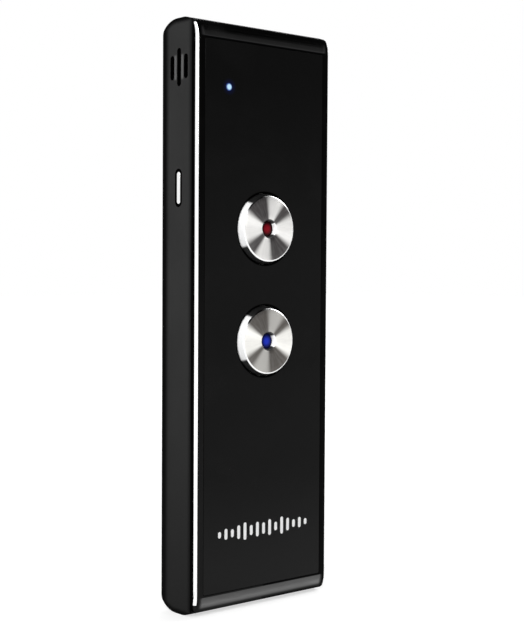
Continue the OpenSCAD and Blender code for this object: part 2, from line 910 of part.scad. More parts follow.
module status_led() {
    color([0.9, 0.9, 0.8]) into(led_front, led_h) translate([light_x, light_z])
        square([led_l, led_w], center = true);
}

// ---- Board ----------------------------------------------------------------------------------

module main_board() {
    color([0.02, 0.2, 0.1]) difference() {
        into(board_front, board_t) difference() {
            translate([0, mid_z])
                square([board_w, body_h - 2 * (wall + board_end_gap)], center = true);
            translate([board_notch_x - body_w, board_notch_z]) square([body_w, body_h]);
        }
        screw_places() rod(board_front - over, board_t + 2 * over, screw_d + 2 * screw_gap);
    }
}

module board_screws() {
    color([0.65, 0.65, 0.67]) screw_places() difference() {
        union() {
            rod(board_front - screw_head_h, screw_head_h, screw_head_d);
            rod(board_front, screw_l, screw_d);
        }
        for (turn = [0, 90])
            into(board_front - screw_head_h - over, over + screw_head_h / 2) rotate(turn)
                square([screw_d, cross_w], center = true);
    }
}

module processor_chip() {
    color([0.05, 0.05, 0.05])
        on_board_back(processor_x, body_h - processor_from_top, processor_w, processor_w, processor_h);
}

module memory_chip() {
    color([0.06, 0.06, 0.06])
        on_board_back(memory_x, body_h - memory_from_top, memory_l, memory_w, memory_h);
}

module shield_can() {
    z = body_h - can_from_top;
    color([0.75, 0.75, 0.76]) difference() {
        on_board_back(can_x, z, can_l, can_w, can_h);
        into(board_back - over, over + can_h - can_sheet) translate([can_x, z])
            square([can_l - 2 * can_sheet, can_w - 2 * can_sheet], center = true);
    }
}

module antenna_chip() {
    color([0.9, 0.88, 0.8])
        on_board_back(antenna_x, body_h - antenna_from_top, antenna_l, antenna_w, antenna_h);
}

module crystal() {
    color([0.8, 0.8, 0.78])
        on_board_back(crystal_x, body_h - crystal_from_top, crystal_l, crystal_w, crystal_h);
}

module power_coil() {
    color([0.2, 0.2, 0.21])
        on_board_back(coil_x, body_h - coil_from_top, coil_w, coil_w, coil_h);
}

// Outline of the charging socket: straight on the board's side, slanted corners on the other
module socket_outline(inset) {
    half = socket_w / 2 - inset;
    top = socket_h - inset;
    polygon([[-half, inset], [half, inset], [half, top - socket_slant], [half - socket_slant, top],
        [socket_slant - half, top], [-half, top - socket_slant]]);
}

module usb_socket_shell() {
    color([0.75, 0.75, 0.77]) translate([0, front_y + board_back, socket_sink]) difference() {
        linear_extrude(socket_l) socket_outline(0);
        translate([0, 0, -over]) linear_extrude(over + socket_l - socket_sheet)
            socket_outline(socket_sheet);
    }
}

module usb_socket_tongue() {
    color([0.08, 0.08, 0.08])
        translate([-tongue_w / 2, front_y + socket_depth - tongue_h / 2,
            socket_sink + socket_l - socket_sheet - tongue_len])
            cube([tongue_w, tongue_h, tongue_len]);
}

// ---- Microphone -----------------------------------------------------------------------------

module microphone_boot() {
    color([0.15, 0.15, 0.15]) translate([mic_right, front_y + mic_depth, mic_seat_z]) difference() {
        cylinder(d = boot_d, h = boot_floor + mic_h);
        translate([0, 0, boot_floor]) cylinder(d = mic_d, h = mic_h + over);
        translate([0, 0, -over]) cylinder(d = mic_hole_d, h = boot_floor + 2 * over);
    }
}

module microphone() {
    color([0.8, 0.8, 0.8]) translate([mic_right, front_y + mic_depth, mic_seat_z + boot_floor])
        cylinder(d = mic_d, h = mic_h);
}

// ---- Speaker --------------------------------------------------------------------------------

module speaker_outline(inset) {
    translate([slot_depth, slots_z])
        square([speaker_w - 2 * inset, speaker_h - 2 * inset], center = true);
}

module slot_mesh() {
    color([0.05, 0.05, 0.05]) across(-wall_x, mesh_t) speaker_outline(0);
}

module speaker_gasket() {
    color([0.2, 0.2, 0.2]) across(-wall_x + mesh_t, gasket_t) difference() {
        speaker_outline(0);
        speaker_outline(gasket_w);
    }
}

module speaker_body() {
    color([0.25, 0.25, 0.26]) difference() {
        across(speaker_face, speaker_t) speaker_outline(0);
        across(speaker_face - over, over + cone_sink + cone_t) speaker_outline(speaker_rim);
    }
}

module speaker_cone() {
    color([0.5, 0.45, 0.3]) across(speaker_face + cone_sink, cone_t) speaker_outline(speaker_rim);
}

// ---- Leads and battery ----------------------------------------------------------------------

// A round wire through points of [X, depth, Z]
module wire(points) {
    translate([0, front_y, 0]) {
        for (i = [0:len(points) - 2]) {
            run = points[i + 1] - points[i];
            translate(points[i])
                rotate([0, acos(run[2] / norm(run)), atan2(run[1], run[0])])
                    cylinder(d = lead_d, h = norm(run));
        }
        for (i = [1:len(points) - 2])
            translate(points[i]) sphere(d = lead_d);
    }
}

module speaker_leads() {
    foot_z = slots_z - speaker_h / 2;
    land_z = board_notch_z - lead_reach;
    x = (speaker_face + speaker_back) / 2;
    color([0.5, 0.05, 0.05]) for (side = [-0.5, 0.5]) {
        end_x = board_notch_x + lead_reach + side * lead_pitch;
        depth = board_back + lead_stand + side * lead_pitch;
        wire([[x, depth, foot_z], [x, depth, land_z], [end_x, depth, land_z],
            [end_x, board_back, land_z]]);
    }
}

module battery_cell() {
    color([0.55, 0.56, 0.6]) translate([0, front_y + (cell_front + cell_back) / 2, cell_from_foot])
        linear_extrude(cell_h) rounded_rect(cell_w, cell_t, cell_edge_r);
}

module battery_pad() {
    color([0.3, 0.3, 0.3]) into(cell_back, pad_t) translate([0, cell_z])
        square([cell_w - 2 * pad_inset, cell_h - 2 * pad_inset], center = true);
}

module battery_plug() {
    color([0.9, 0.9, 0.85]) on_board_back(plug_right, plug_z, plug_l, plug_w, plug_h);
}

module battery_leads() {
    start_depth = (cell_front + cell_back) / 2;
    end_depth = board_back + plug_h / 2;
    end_z = plug_z - plug_w / 2;
    color([0.6, 0.05, 0.05]) for (side = [-0.5, 0.5]) {
        x = plug_right + side * lead_pitch;
        wire([[x, start_depth, cell_top], [x, start_depth, cell_top + lead_d],
            [x, end_depth, end_z - lead_d], [x, end_depth, end_z]]);
    }
}

rear_housing();
front_frame();
trim_strip_left();
trim_strip_right();
front_panel();
panel_adhesive();
red_button_cap();
blue_button_cap();
red_button_lens();
blue_button_lens();
red_button_carrier();
blue_button_carrier();
red_switch_plunger();
blue_switch_plunger();
red_switch_cover();
blue_switch_cover();
red_switch_base();
blue_switch_base();
red_switch_dome();
blue_switch_dome();
power_button();
power_switch_plunger();
power_switch_body();
led_light_pipe();
status_led();
main_board();
processor_chip();
memory_chip();
shield_can();
antenna_chip();
crystal();
power_coil();
usb_socket_shell();
usb_socket_tongue();
microphone();
microphone_boot();
speaker_body();
speaker_cone();
speaker_gasket();
slot_mesh();
speaker_leads();
battery_cell();
battery_pad();
battery_plug();
battery_leads();
board_screws();
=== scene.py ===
"""Slim upright handheld translator: the finished pieces, their materials, the studio and the camera.

Shapes are made in millimetres and placed in metres. The front faces -Y, the power button is on -X and
Z runs up from the foot. A depth is a distance behind the front face, towards +Y.
"""
import json
from math import cos, pi, radians, sin, tau

import bmesh
import bpy
from mathutils import Matrix, Vector


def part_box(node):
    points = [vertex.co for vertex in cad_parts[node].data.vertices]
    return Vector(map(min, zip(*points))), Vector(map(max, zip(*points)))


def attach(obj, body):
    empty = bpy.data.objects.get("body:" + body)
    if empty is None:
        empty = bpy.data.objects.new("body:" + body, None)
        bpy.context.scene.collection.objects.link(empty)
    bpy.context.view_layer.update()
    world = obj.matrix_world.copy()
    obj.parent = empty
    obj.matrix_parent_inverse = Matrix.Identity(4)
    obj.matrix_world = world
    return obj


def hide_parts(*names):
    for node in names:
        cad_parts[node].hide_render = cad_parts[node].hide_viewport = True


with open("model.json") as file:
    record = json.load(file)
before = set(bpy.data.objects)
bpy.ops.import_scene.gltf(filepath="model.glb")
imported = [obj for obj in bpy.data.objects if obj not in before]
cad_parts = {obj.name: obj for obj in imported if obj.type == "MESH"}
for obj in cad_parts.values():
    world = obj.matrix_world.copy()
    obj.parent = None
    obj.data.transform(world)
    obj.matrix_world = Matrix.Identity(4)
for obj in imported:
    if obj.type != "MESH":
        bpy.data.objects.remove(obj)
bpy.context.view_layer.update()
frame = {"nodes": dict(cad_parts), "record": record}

# ---- Sizes in millimetres --------------------------------------------------------------------

METRE = 1000.0


def box_mm(node):
    """Lowest and highest corner of a frame node, in millimetres."""
    low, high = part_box(node)
    return Vector(low) * METRE, Vector(high) * METRE


def middle_of(node):
    return [(a + b) / 2 for a, b in zip(*box_mm(node))]


HOUSING_LOW, HOUSING_HIGH = box_mm("rear_housing")
FRAME_LOW, FRAME_HIGH = box_mm("front_frame")
PANEL_LOW, PANEL_HIGH = box_mm("front_panel")
STRIP_LOW, STRIP_HIGH = box_mm("trim_strip_left")
BAR_LOW, BAR_HIGH = box_mm("power_button")
LIGHT_LOW, LIGHT_HIGH = box_mm("led_light_pipe")
SOCKET_LOW, SOCKET_HIGH = box_mm("usb_socket_shell")
LIGHT_X, _, LIGHT_Z = middle_of("led_light_pipe")
MIC_X, MIC_Y, _ = middle_of("microphone")
_, BAR_Y, BAR_Z = middle_of("power_button")
_, SLOTS_Y, SLOTS_Z = middle_of("speaker_body")
CAPS = {colour: box_mm(f"{colour}_button_cap") for colour in ("red", "blue")}
LENSES = {colour: box_mm(f"{colour}_button_lens") for colour in ("red", "blue")}

FRONT = FRAME_LOW.y
BACK = HOUSING_HIGH.y
HALF_W = HOUSING_HIGH.x
TOP = HOUSING_HIGH.z
MID_Z = TOP / 2
SEAM = HOUSING_LOW.y

# Outline of the rounded ends: depth and height of its turns
END_BAND = 4.9
END_EDGE_DEPTH = 1.0
END_EDGE_DROP = 1.1
LAND_START = 4.5
LAND_STOP = 7.5
CREST = 0.8
REAR_DROP = 5.2
BAND_R = ((END_BAND - END_EDGE_DROP) ** 2 + END_EDGE_DEPTH ** 2) / (2 * END_EDGE_DEPTH)
BAND_ROLL = 0.5

# Housing, frame and plate
WALL = 1.5
EDGE_R = 1.3
INNER_EDGE_R = 0.8
FRAME_SIDE = 1.7
FRAME_CORNER_R = 1.8
WEB_FRONT = 1.15
WEB_BACK = 2.15
LIP_GAP = 0.1
LIP_T = 0.9
LIP_CORNER_R = 0.8
PANEL_GAP = 0.12
PANEL_CORNER_R = 0.4

# Bright strips. Their tip's curve: share of the width from the outer edge, height above the tip
STRIP_W = 0.58
STRIP_D = 0.67
STRIP_CROWN = 0.09
STRIP_INNER = -HALF_W + STRIP_W
STRIP_FOOT = STRIP_LOW.z + 0.5
STRIP_TIP = STRIP_HIGH.z + 0.95
STRIP_TIP_CURVE = [(1.0, -0.55), (0.92, -0.25), (0.75, -0.08), (0.4, 0.0), (0.0, -0.08)]

# Round buttons and status light
CAP_D = CAPS["red"][1].x - CAPS["red"][0].x
CAP_HOLE_D = CAP_D + 0.5
CAP_FACE_D = CAP_D - 1.0
CAP_FACE_T = 1.2
CAP_WALL = 0.8
CAP_RIM_W = 0.34
CAP_RIM_D = 0.14
CAP_PROUD = FRONT - CAPS["red"][0].y
DOT_D = 4.5
DOT_FOOT_D = 3.76
DOT_SINK = 0.8
LENS_CROWN = 0.16
LENS_RIM = 0.6
LIGHT_D = 1.8
LIGHT_GAP = 0.08
LIGHT_CROWN = 0.12
LIGHT_RIM_W = 0.7
LIGHT_RIM_T = 0.5
LIGHT_CENTRE = Vector((LIGHT_X, FRONT, LIGHT_Z))
CAP_CENTRES = {colour: Vector((0, low.y, (low.z + high.z) / 2)) for colour, (low, high) in CAPS.items()}
LENS_CENTRES = {colour: centre + Vector((0, DOT_SINK, 0)) for colour, centre in CAP_CENTRES.items()}

# Power bar, and the other openings in the housing
BAR_W = 1.2
BAR_L = 7.5
BAR_GAP = 0.15
FLANGE_GAP = 0.25
FLANGE_T = 0.7
RECESS_MARGIN = 0.55
RECESS_D = 0.5
SLOT_W = 1.45
SLOT_PITCH = 2.6
SLOT_LONG = 8.8
SLOT_SHORT = 5.6
SOCKET_GAP = 0.25
SOCKET_CORNER = 0.8
MIC_HOLE_D = 1.0

# Printed row of level bars, each a share of the tallest
LEVEL_W = 28.4
LEVEL_TALL = 4.2
LEVEL_BAR_W = 0.9
LEVEL_Z = 18.8
LEVEL_SHARES = [0.36, 0.62, 0.46, 0.78, 1.0, 0.58, 0.84, 0.66, 0.92, 0.5, 1.0, 0.74, 0.46, 0.62, 0.36]
INK_T = 0.02

# Rounding of the edges, and the flats that make up a curve
HOUSING_EASE = 0.14
FRONT_EASE = 0.06
STRIP_EASE = 0.05
BAR_EASE = 0.16
SHARP_TURN = 28  # degrees: an edge that turns less than this isn't eased
CRISP_TURN = 40  # degrees: an edge that turns less than this is shaded smoothly
CORNER_STEPS = 6
END_STEPS = 10
ARC_STEPS = 20
BAND_STEPS = 8
DOME_STEPS = 6

OVER = 1.0  # cutters reach this far past what they cut
ALMOST = 0.001  # round ends stop this short of a full half circle

# ---- Making meshes ---------------------------------------------------------------------------


def evenly(start, stop, steps):
    """Evenly spaced values, both ends among them."""
    return [start + (stop - start) * i / steps for i in range(steps + 1)]


def polygon(points):
    """A mesh with one flat face through these points."""
    bm = bmesh.new()
    bm.faces.new([bm.verts.new(p) for p in points])
    return bm


def sweep(section, steps):
    """A closed mesh: a flat outline pulled through a chain of steps."""
    bm = polygon(section)
    face = bm.faces[:][0]
    for number, step in enumerate(steps):
        grown = bmesh.ops.extrude_face_region(bm, geom=[face])["geom"]
        bmesh.ops.translate(bm, vec=step, verts=[v for v in grown if isinstance(v, bmesh.types.BMVert)])
        if number:
            bmesh.ops.delete(bm, geom=[face], context="FACES_ONLY")
        face = next(f for f in grown if isinstance(f, bmesh.types.BMFace))
    bmesh.ops.recalc_face_normals(bm, faces=bm.faces)
    return bm


def block(low, high):
    """A closed box between two corners."""
    low, high = Vector(low), Vector(high)
    bm = bmesh.new()
    bmesh.ops.create_cube(bm, size=1)
    bmesh.ops.scale(bm, vec=high - low, verts=bm.verts)
    bmesh.ops.translate(bm, vec=(low + high) / 2, verts=bm.verts)
    return bm


def runs_along(edge, axis):
    """Whether an edge is parallel to an axis."""
    a, b = (v.co for v in edge.verts)
    return abs((b - a).normalized()[axis]) > 0.999


def round_edges(bm, edges, width, segments, **settings):
    """Bevel these edges round."""
    bmesh.ops.bevel(bm, geom=edges, offset=width, offset_type="OFFSET", affect="EDGES", segments=segments,
                    profile=0.5, material=-1, **settings)


def rounded_block(low, high, axis, radius, segments=CORNER_STEPS):
    """A box whose four edges along one axis are rounded; a slot where the radius is half the width."""
    bm = block(low, high)
    round_edges(bm, [e for e in bm.edges if runs_along(e, axis)], radius, segments, clamp_overlap=True)
    bmesh.ops.remove_doubles(bm, verts=bm.verts, dist=1e-4)
    return bm


def pin(centre, diameter, axis, length, segments=64):
    """A closed cylinder along an axis, starting at its centre point."""
    bm = bmesh.new()
    bmesh.ops.create_cone(bm, cap_ends=True, segments=segments, radius1=diameter / 2,
                          radius2=diameter / 2, depth=length)
    turn = {0: Matrix.Rotation(pi / 2, 4, "Y"), 1: Matrix.Rotation(-pi / 2, 4, "X"), 2: Matrix.Identity(4)}
    bmesh.ops.transform(bm, matrix=turn[axis], verts=bm.verts)
    middle = Vector(centre)
    middle[axis] += length / 2
    bmesh.ops.translate(bm, vec=middle, verts=bm.verts)
    return bm


def spun(profile, centre, segments=128):
    """Turn a profile of radius and depth about an axis along Y."""
    bm = bmesh.new()
    points = [bm.verts.new((radius, depth, 0)) for radius, depth in profile]
    line = [bm.edges.new(pair) for pair in zip(points, points[1:])]
    bmesh.ops.spin(bm, geom=points + line, cent=(0, 0, 0), axis=(0, 1, 0), angle=tau,
                   steps=segments, use_merge=True)
    bmesh.ops.remove_doubles(bm, verts=bm.verts, dist=1e-4)
    bmesh.ops.recalc_face_normals(bm, faces=bm.faces)
    bmesh.ops.translate(bm, vec=centre, verts=bm.verts)
    return bm


def slice_off(bm, point, normal):
    """Cut away what lies beyond a plane and close the cut."""
    cut = bmesh.ops.bisect_plane(bm, geom=bm.verts[:] + bm.edges[:] + bm.faces[:], plane_co=point,
                                 plane_no=normal, clear_outer=True)
    rim = [e for e in cut["geom_cut"] if isinstance(e, bmesh.types.BMEdge)]
    bmesh.ops.edgeloop_fill(bm, edges=rim)


def stand(name, bm):
    """Put a mesh into the scene as an object."""
    mesh = bpy.data.meshes.new(name)
    bm.to_mesh(mesh)
    bm.free()
    made = bpy.data.objects.new(name, mesh)
    bpy.context.scene.collection.objects.link(made)
    return made


def combine(base, others, operation="DIFFERENCE"):
    """Cut closed meshes out of the first, or join them to it."""
    for bm in [base, *others]:
        bmesh.ops.recalc_face_normals(bm, faces=bm.faces)
    solids = [stand("scratch", bm) for bm in [base, *others]]
    for other in solids[1:]:
        step = solids[0].modifiers.new("step", "BOOLEAN")
        step.operation = operation
        step.object = other
        step.solver = "EXACT"
    bpy.context.view_layer.update()
    shaped = solids[0].evaluated_get(bpy.context.evaluated_depsgraph_get())
    result = bmesh.new()
    result.from_mesh(shaped.to_mesh())
    for solid in solids:
        bpy.data.meshes.remove(solid.data)
    bmesh.ops.remove_doubles(result, verts=result.verts, dist=1e-4)
    return result


def ease(bm, width, segments=2):
    """Round every sharp edge a little."""
    bmesh.ops.dissolve_degenerate(bm, dist=0.02, edges=bm.edges)
    sharp = [e for e in bm.edges if len(e.link_faces) == 2 and e.calc_face_angle(0) > radians(SHARP_TURN)]
    round_edges(bm, sharp, width, segments, loop_slide=True)
    return bm


def within(bm):
    """Keep a mesh between the sides and behind the front."""
    for vert in bm.verts:
        vert.co.x = max(-HALF_W, min(HALF_W, vert.co.x))
        vert.co.y = max(FRONT, vert.co.y)
    return bm


def piece(name, bm, body, nodes, slot, *materials, pick=None):
    """Make a mesh in millimetres a finished piece that rides on a body and stands for frame nodes.

    Its finish is its slot's, or the materials given, among which pick chooses for each face.
    """
    bmesh.ops.recalc_face_normals(bm, faces=bm.faces)
    for face in bm.faces:
        face.smooth = True
        if pick:
            face.material_index = pick(face)
    bmesh.ops.scale(bm, vec=(1 / METRE,) * 3, verts=bm.verts)
    made = stand(name, bm)
    made.data.set_sharp_from_angle(angle=radians(CRISP_TURN))
    for material in materials or [FINISHES[slot]]:
        made.data.materials.append(material)
    firm = made.modifiers.new("even_shading", "WEIGHTED_NORMAL")
    firm.keep_sharp = True
    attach(made, body)
    if nodes:
        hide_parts(*nodes)


# ---- Shader building -------------------------------------------------------------------------


def add(tree, kind, inputs=None, **settings):
    """Add a node. Each input is a value, or the output that feeds it."""
    made = tree.nodes.new("ShaderNode" + kind)
    for name, value in settings.items():
        setattr(made, name, value)
    feed(tree, made, inputs or {})
    return made


def feed(tree, made, inputs):
    for name, value in inputs.items():
        if isinstance(value, bpy.types.NodeSocket):
            tree.links.new(value, made.inputs[name])
        else:
            made.inputs[name].default_value = value


def math(tree, operation, *values, clamp=False):
    return add(tree, "Math", dict(enumerate(values)), operation=operation, use_clamp=clamp).outputs[0]


def product(tree, first, *others):
    for value in others:
        first = math(tree, "MULTIPLY", first, value)
    return first


def apart(tree, first, second):
    """How far two values are apart."""
    return math(tree, "ABSOLUTE", math(tree, "SUBTRACT", first, second))


def short_of(tree, size, value):
    """How far a value falls short of a size, on either side of 0."""
    return math(tree, "SUBTRACT", size, math(tree, "ABSOLUTE", value))


def diagonal(tree, first, second):
    squares = product(tree, first, first), product(tree, second, second)
    return math(tree, "SQRT", math(tree, "ADD", *squares))


def vector(tree, operation, *values):
    """Work on vectors. The result is a vector, or a number where it is their length."""
    made = add(tree, "VectorMath", dict(enumerate(values)), operation=operation)
    return made.outputs["Value" if operation == "LENGTH" else "Vector"]


def ramp(tree, value, low, high, to_low=0.0, to_high=1.0):
    """Carry a value smoothly from one range to another."""
    made = add(tree, "MapRange", {"Value": value, "From Min": low, "From Max": high, "To Min": to_low,
                                  "To Max": to_high}, interpolation_type="SMOOTHSTEP")
    return made.outputs["Result"]


def fade(tree, value, full, gone):
    """1 up to one value, falling smoothly to 0 at another."""
    return ramp(tree, value, full, gone, 1.0, 0.0)


def mix(tree, amount, first, second):
    """Mix two colours."""
    made = add(tree, "Mix", data_type="RGBA")
    sockets = [s for s in made.inputs if s.enabled]
    for socket, value in zip(sockets, (amount, first, second)):
        if isinstance(value, bpy.types.NodeSocket):
            tree.links.new(value, socket)
        else:
            socket.default_value = value
    return next(s for s in made.outputs if s.enabled)


def greys(tree, share, shades):
    """A grey for a share of 0 to 1, from a row of shares and their levels."""
    made = add(tree, "ValToRGB", {"Fac": share})
    stops = made.color_ramp.elements
    stops.remove(stops[1])
    stops[0].color = grey(shades[0][1])
    for at, level in shades[1:]:
        stops.new(at).color = grey(level)
    return made.outputs["Color"]


def noise(tree, place, size, detail=2.0, roughness=0.5, distortion=0.0):
    """Noise whose features are about this many millimetres wide."""
    density = math(tree, "DIVIDE", 1.0, size) if isinstance(size, bpy.types.NodeSocket) else 1 / size
    made = add(tree, "TexNoise", {"Vector": place, "Scale": density, "Detail": detail,
                                  "Roughness": roughness, "Distortion": distortion})
    return made.outputs["Fac"]


def axes(tree, place):
    split = add(tree, "SeparateXYZ", {"Vector": place})
    return split.outputs["X"], split.outputs["Y"], split.outputs["Z"]


def rgb(red, green, blue):
    return (red, green, blue, 1.0)


def grey(level):
    return rgb(level, level, level)


def new_group(name, inputs, outputs):
    """An empty shader group with named sockets. Inputs are name: starting number, or None for a place."""
    tree = bpy.data.node_groups.new(name, "ShaderNodeTree")
    for label, value in inputs.items():
        kind = "NodeSocketVector" if value is None else "NodeSocketFloat"
        socket = tree.interface.new_socket(label, in_out="INPUT", socket_type=kind)
        if value is not None:
            socket.default_value = value
    for label in outputs:
        tree.interface.new_socket(label, in_out="OUTPUT", socket_type="NodeSocketFloat")
    return tree, tree.nodes.new("NodeGroupInput").outputs, tree.nodes.new("NodeGroupOutput").inputs


def use(tree, group, **inputs):
    """Place a shader group in a material."""
    made = tree.nodes.new("ShaderNodeGroup")
    made.node_tree = group
    feed(tree, made, {name.replace("_", " "): value for name, value in inputs.items()})
    return made.outputs


def moulded_grain():
    """Fine texture of a moulded face: its height, and a slow change of tone."""
    tree, given, out = new_group("moulded_grain", {"Place": None, "Pitch": 0.15}, ["Height", "Tone"])
    place = given["Place"]
    fine = noise(tree, place, given["Pitch"], detail=3.0, roughness=0.6)
    density = product(tree, math(tree, "DIVIDE", 1.0, given["Pitch"]), 0.7)
    pits = add(tree, "TexVoronoi", {"Vector": place, "Scale": density}, feature="SMOOTH_F1")
    tree.links.new(math(tree, "ADD", fine, pits.outputs["Distance"]), out["Height"])
    tree.links.new(ramp(tree, noise(tree, place, 12.0), 0.3, 0.7), out["Tone"])
    return tree


def handling_marks():
    """Faint cloudy marks and hair-fine scratches that hands leave on a polished face."""
    tree, given, out = new_group("handling_marks", {"Place": None, "Size": 12.0}, ["Mask", "Scratch"])
    cloud = noise(tree, given["Place"], given["Size"], detail=4.0, roughness=0.62, distortion=0.6)
    bent = vector(tree, "MULTIPLY", given["Place"], (0.9, 0.35, 0.05))
    hairs = noise(tree, bent, 1 / 2.2, detail=1.0, distortion=1.4)
    tree.links.new(ramp(tree, cloud, 0.42, 0.72), out["Mask"])
    tree.links.new(fade(tree, apart(tree, hairs, 0.5), 0.0, 0.006), out["Scratch"])
    return tree


def drawn_lines():
    """Fine straight lines left by rolling or brushing, along Z."""
    tree, given, out = new_group("drawn_lines", {"Place": None, "Pitch": 0.12}, ["Height", "Tone"])
    squeezed = vector(tree, "MULTIPLY", given["Place"], (1.0, 1.0, 0.04))
    tree.links.new(noise(tree, squeezed, given["Pitch"], detail=3.0, roughness=0.7), out["Height"])
    tree.links.new(ramp(tree, noise(tree, given["Place"], 4.0), 0.3, 0.7), out["Tone"])
    return tree


def woven_threads():
    """Plain weave in the Y and Z directions."""
    tree, given, out = new_group("woven_threads", {"Place": None, "Pitch": 0.35}, ["Height"])
    _, across, up = axes(tree, given["Place"])
    turn = math(tree, "DIVIDE", pi, given["Pitch"])
    waves = [math(tree, "SINE", product(tree, way, turn)) for way in (across, up)]
    threads = [math(tree, "ABSOLUTE", wave) for wave in waves]
    tree.links.new(math(tree, "MAXIMUM", *threads), out["Height"])
    return tree


def turned_face_painted_fans():
    """Turned metal about Y: rings round its centre, and two painted fans of light, painted highlights for
    the base colour.
    """
    tree, given, out = new_group("turned_face_painted_fans", {
        "Place": None, "Ring pitch": 0.12, "Side turn": 0.0, "Side edge": 0.7, "Side core": 0.3,
        "Upright turn": 1.4, "Upright edge": 0.45, "Upright core": 0.1, "Upright strength": 1.0},
        ["Height", "Painted fan", "Streak"])
    across, _, up = axes(tree, given["Place"])
    radius = diagonal(tree, across, up)
    angle = math(tree, "ARCTAN2", up, across)

    def painted_fan(kind):
        """A fan and its opposite: full within its core, gone at its edge."""
        def double(value):
            return math(tree, "COSINE", product(tree, value, 2.0))
        turned = math(tree, "SUBTRACT", angle, given[f"{kind} turn"])
        return ramp(tree, double(turned), double(given[f"{kind} edge"]), double(given[f"{kind} core"]))

    upright = product(tree, painted_fan("Upright"), given["Upright strength"])
    ring_place = add(tree, "CombineXYZ", {"X": math(tree, "DIVIDE", radius, given["Ring pitch"]),
                                          "Y": product(tree, angle, 0.35)})
    streak_place = add(tree, "CombineXYZ", {"X": product(tree, radius, 0.25),
                                            "Y": product(tree, angle, 9.0)})
    tree.links.new(noise(tree, ring_place.outputs[0], 1.0, roughness=0.7), out["Height"])
    # Painted highlight: the two fans of light and their opposites, full within their cores.
    tree.links.new(math(tree, "MAXIMUM", painted_fan("Side"), upright, clamp=True), out["Painted fan"])
    streaks = noise(tree, streak_place.outputs[0], 1.0, detail=3.0)
    tree.links.new(ramp(tree, streaks, 0.3, 0.7), out["Streak"])
    return tree


GRAIN = moulded_grain()
HANDLING = handling_marks()
DRAWN = drawn_lines()
WEAVE = woven_threads()
TURNED = turned_face_painted_fans()

# ---- Finishes --------------------------------------------------------------------------------


def new_material(name, **values):
    """A material with its main shader. Values are the sockets that are the same all over."""
    material = bpy.data.materials.new(name)
    material.use_nodes = True
    tree = material.node_tree
    shader = tree.nodes["Principled BSDF"]
    feed(tree, shader, {label.replace("_", " "): value for label, value in values.items()})
    return material, tree, shader


def opened(material):
    """The tree and shader of a material, and what feeds its colour, so that more can go over it."""
    tree = material.node_tree
    shader = tree.nodes["Principled BSDF"]
    return tree, shader, shader.inputs["Base Color"].links[0].from_socket


def place_in_mm(tree, centre=(0, 0, 0)):
    """Object coordinates in millimetres, counted from a centre."""
    coords = add(tree, "TexCoord").outputs["Object"]
    scaled = add(tree, "VectorMath", {0: coords, "Scale": METRE}, operation="SCALE").outputs["Vector"]
    return vector(tree, "SUBTRACT", scaled, centre)


def distance_from(tree, centre):
    return vector(tree, "LENGTH", place_in_mm(tree, centre))


def bump(tree, shader, height, depth):
    """Raise the surface by a height texture, its full depth in millimetres."""
    made = add(tree, "Bump", {"Height": height, "Distance": depth / METRE})
    tree.links.new(made.outputs["Normal"], shader.inputs["Normal"])


def moulded(name, light, dark, pitch=0.15, depth=0.004, rough=(0.5, 0.62), **values):
    """Moulded plastic, rubber or ceramic with a fine even texture."""
    material, tree, shader = new_material(name, **values)
    grain = use(tree, GRAIN, Place=place_in_mm(tree), Pitch=pitch)
    feed(tree, shader, {"Base Color": mix(tree, grain["Tone"], dark, light),
                        "Roughness": ramp(tree, grain["Height"], 0.4, 1.2, *rough)})
    bump(tree, shader, grain["Height"], depth)
    return material


def polished(name, light, dark, rough=(0.05, 0.14), size=12.0, **values):
    """Polished plastic or metal with faint handling marks and a slight waviness."""
    material, tree, shader = new_material(name, **values)
    place = place_in_mm(tree)
    marks = use(tree, HANDLING, Place=place, Size=size)
    wear_and_painted_sheen = math(tree, "ADD", marks["Mask"], product(tree, marks["Scratch"], 0.3), clamp=True)
    feed(tree, shader, {"Base Color": mix(tree, marks["Mask"], dark, light),
                        "Roughness": ramp(tree, wear_and_painted_sheen, 0.0, 1.0, *rough)})
    bump(tree, shader, noise(tree, place, 1.4, detail=1.0), 0.0006)
    return material


def drawn_sheet(name, light, dark, rough=(0.26, 0.4), **values):
    """Rolled or stamped sheet metal."""
    material, tree, shader = new_material(name, Metallic=1.0, **values)
    lines = use(tree, DRAWN, Place=place_in_mm(tree), Pitch=0.12)
    feed(tree, shader, {"Base Color": mix(tree, lines["Tone"], dark, light),
                        "Roughness": ramp(tree, lines["Height"], 0.3, 0.7, *rough)})
    bump(tree, shader, lines["Height"], 0.002)
    return material


def turned_metal_painted_fans(name, centre, side, dark, bright, upright=(90, 20, 10), strength=0.0, rough=(0.3, 0.42),
                 streaks=0.12, depth=0.004, **values):
    """Turned metal of a button with two painted fans of light, painted highlights in its base colour, given
    as turn, edge and core in degrees.
    """
    material, tree, shader = new_material(name, Anisotropic_Rotation=0.25, **values)
    place = place_in_mm(tree, centre)
    painted_fans = {f"{kind}_{part}": radians(value) for kind, painted_fan in (("Side", side), ("Upright", upright))
            for part, value in zip(("turn", "edge", "core"), painted_fan)}
    face = use(tree, TURNED, Place=place, Upright_strength=strength, **painted_fans)
    # Painted highlight: the fans lighten the dark metal to the bright colour.
    tone = mix(tree, face["Painted fan"], dark, bright)
    feed(tree, shader, {"Base Color": mix(tree, product(tree, face["Streak"], streaks), tone, grey(0.45)),
                        "Roughness": ramp(tree, face["Height"], 0.3, 0.7, *rough),
                        "Tangent": vector(tree, "CROSS_PRODUCT", (0, 1, 0), place)})
    bump(tree, shader, face["Height"], depth)
    return material


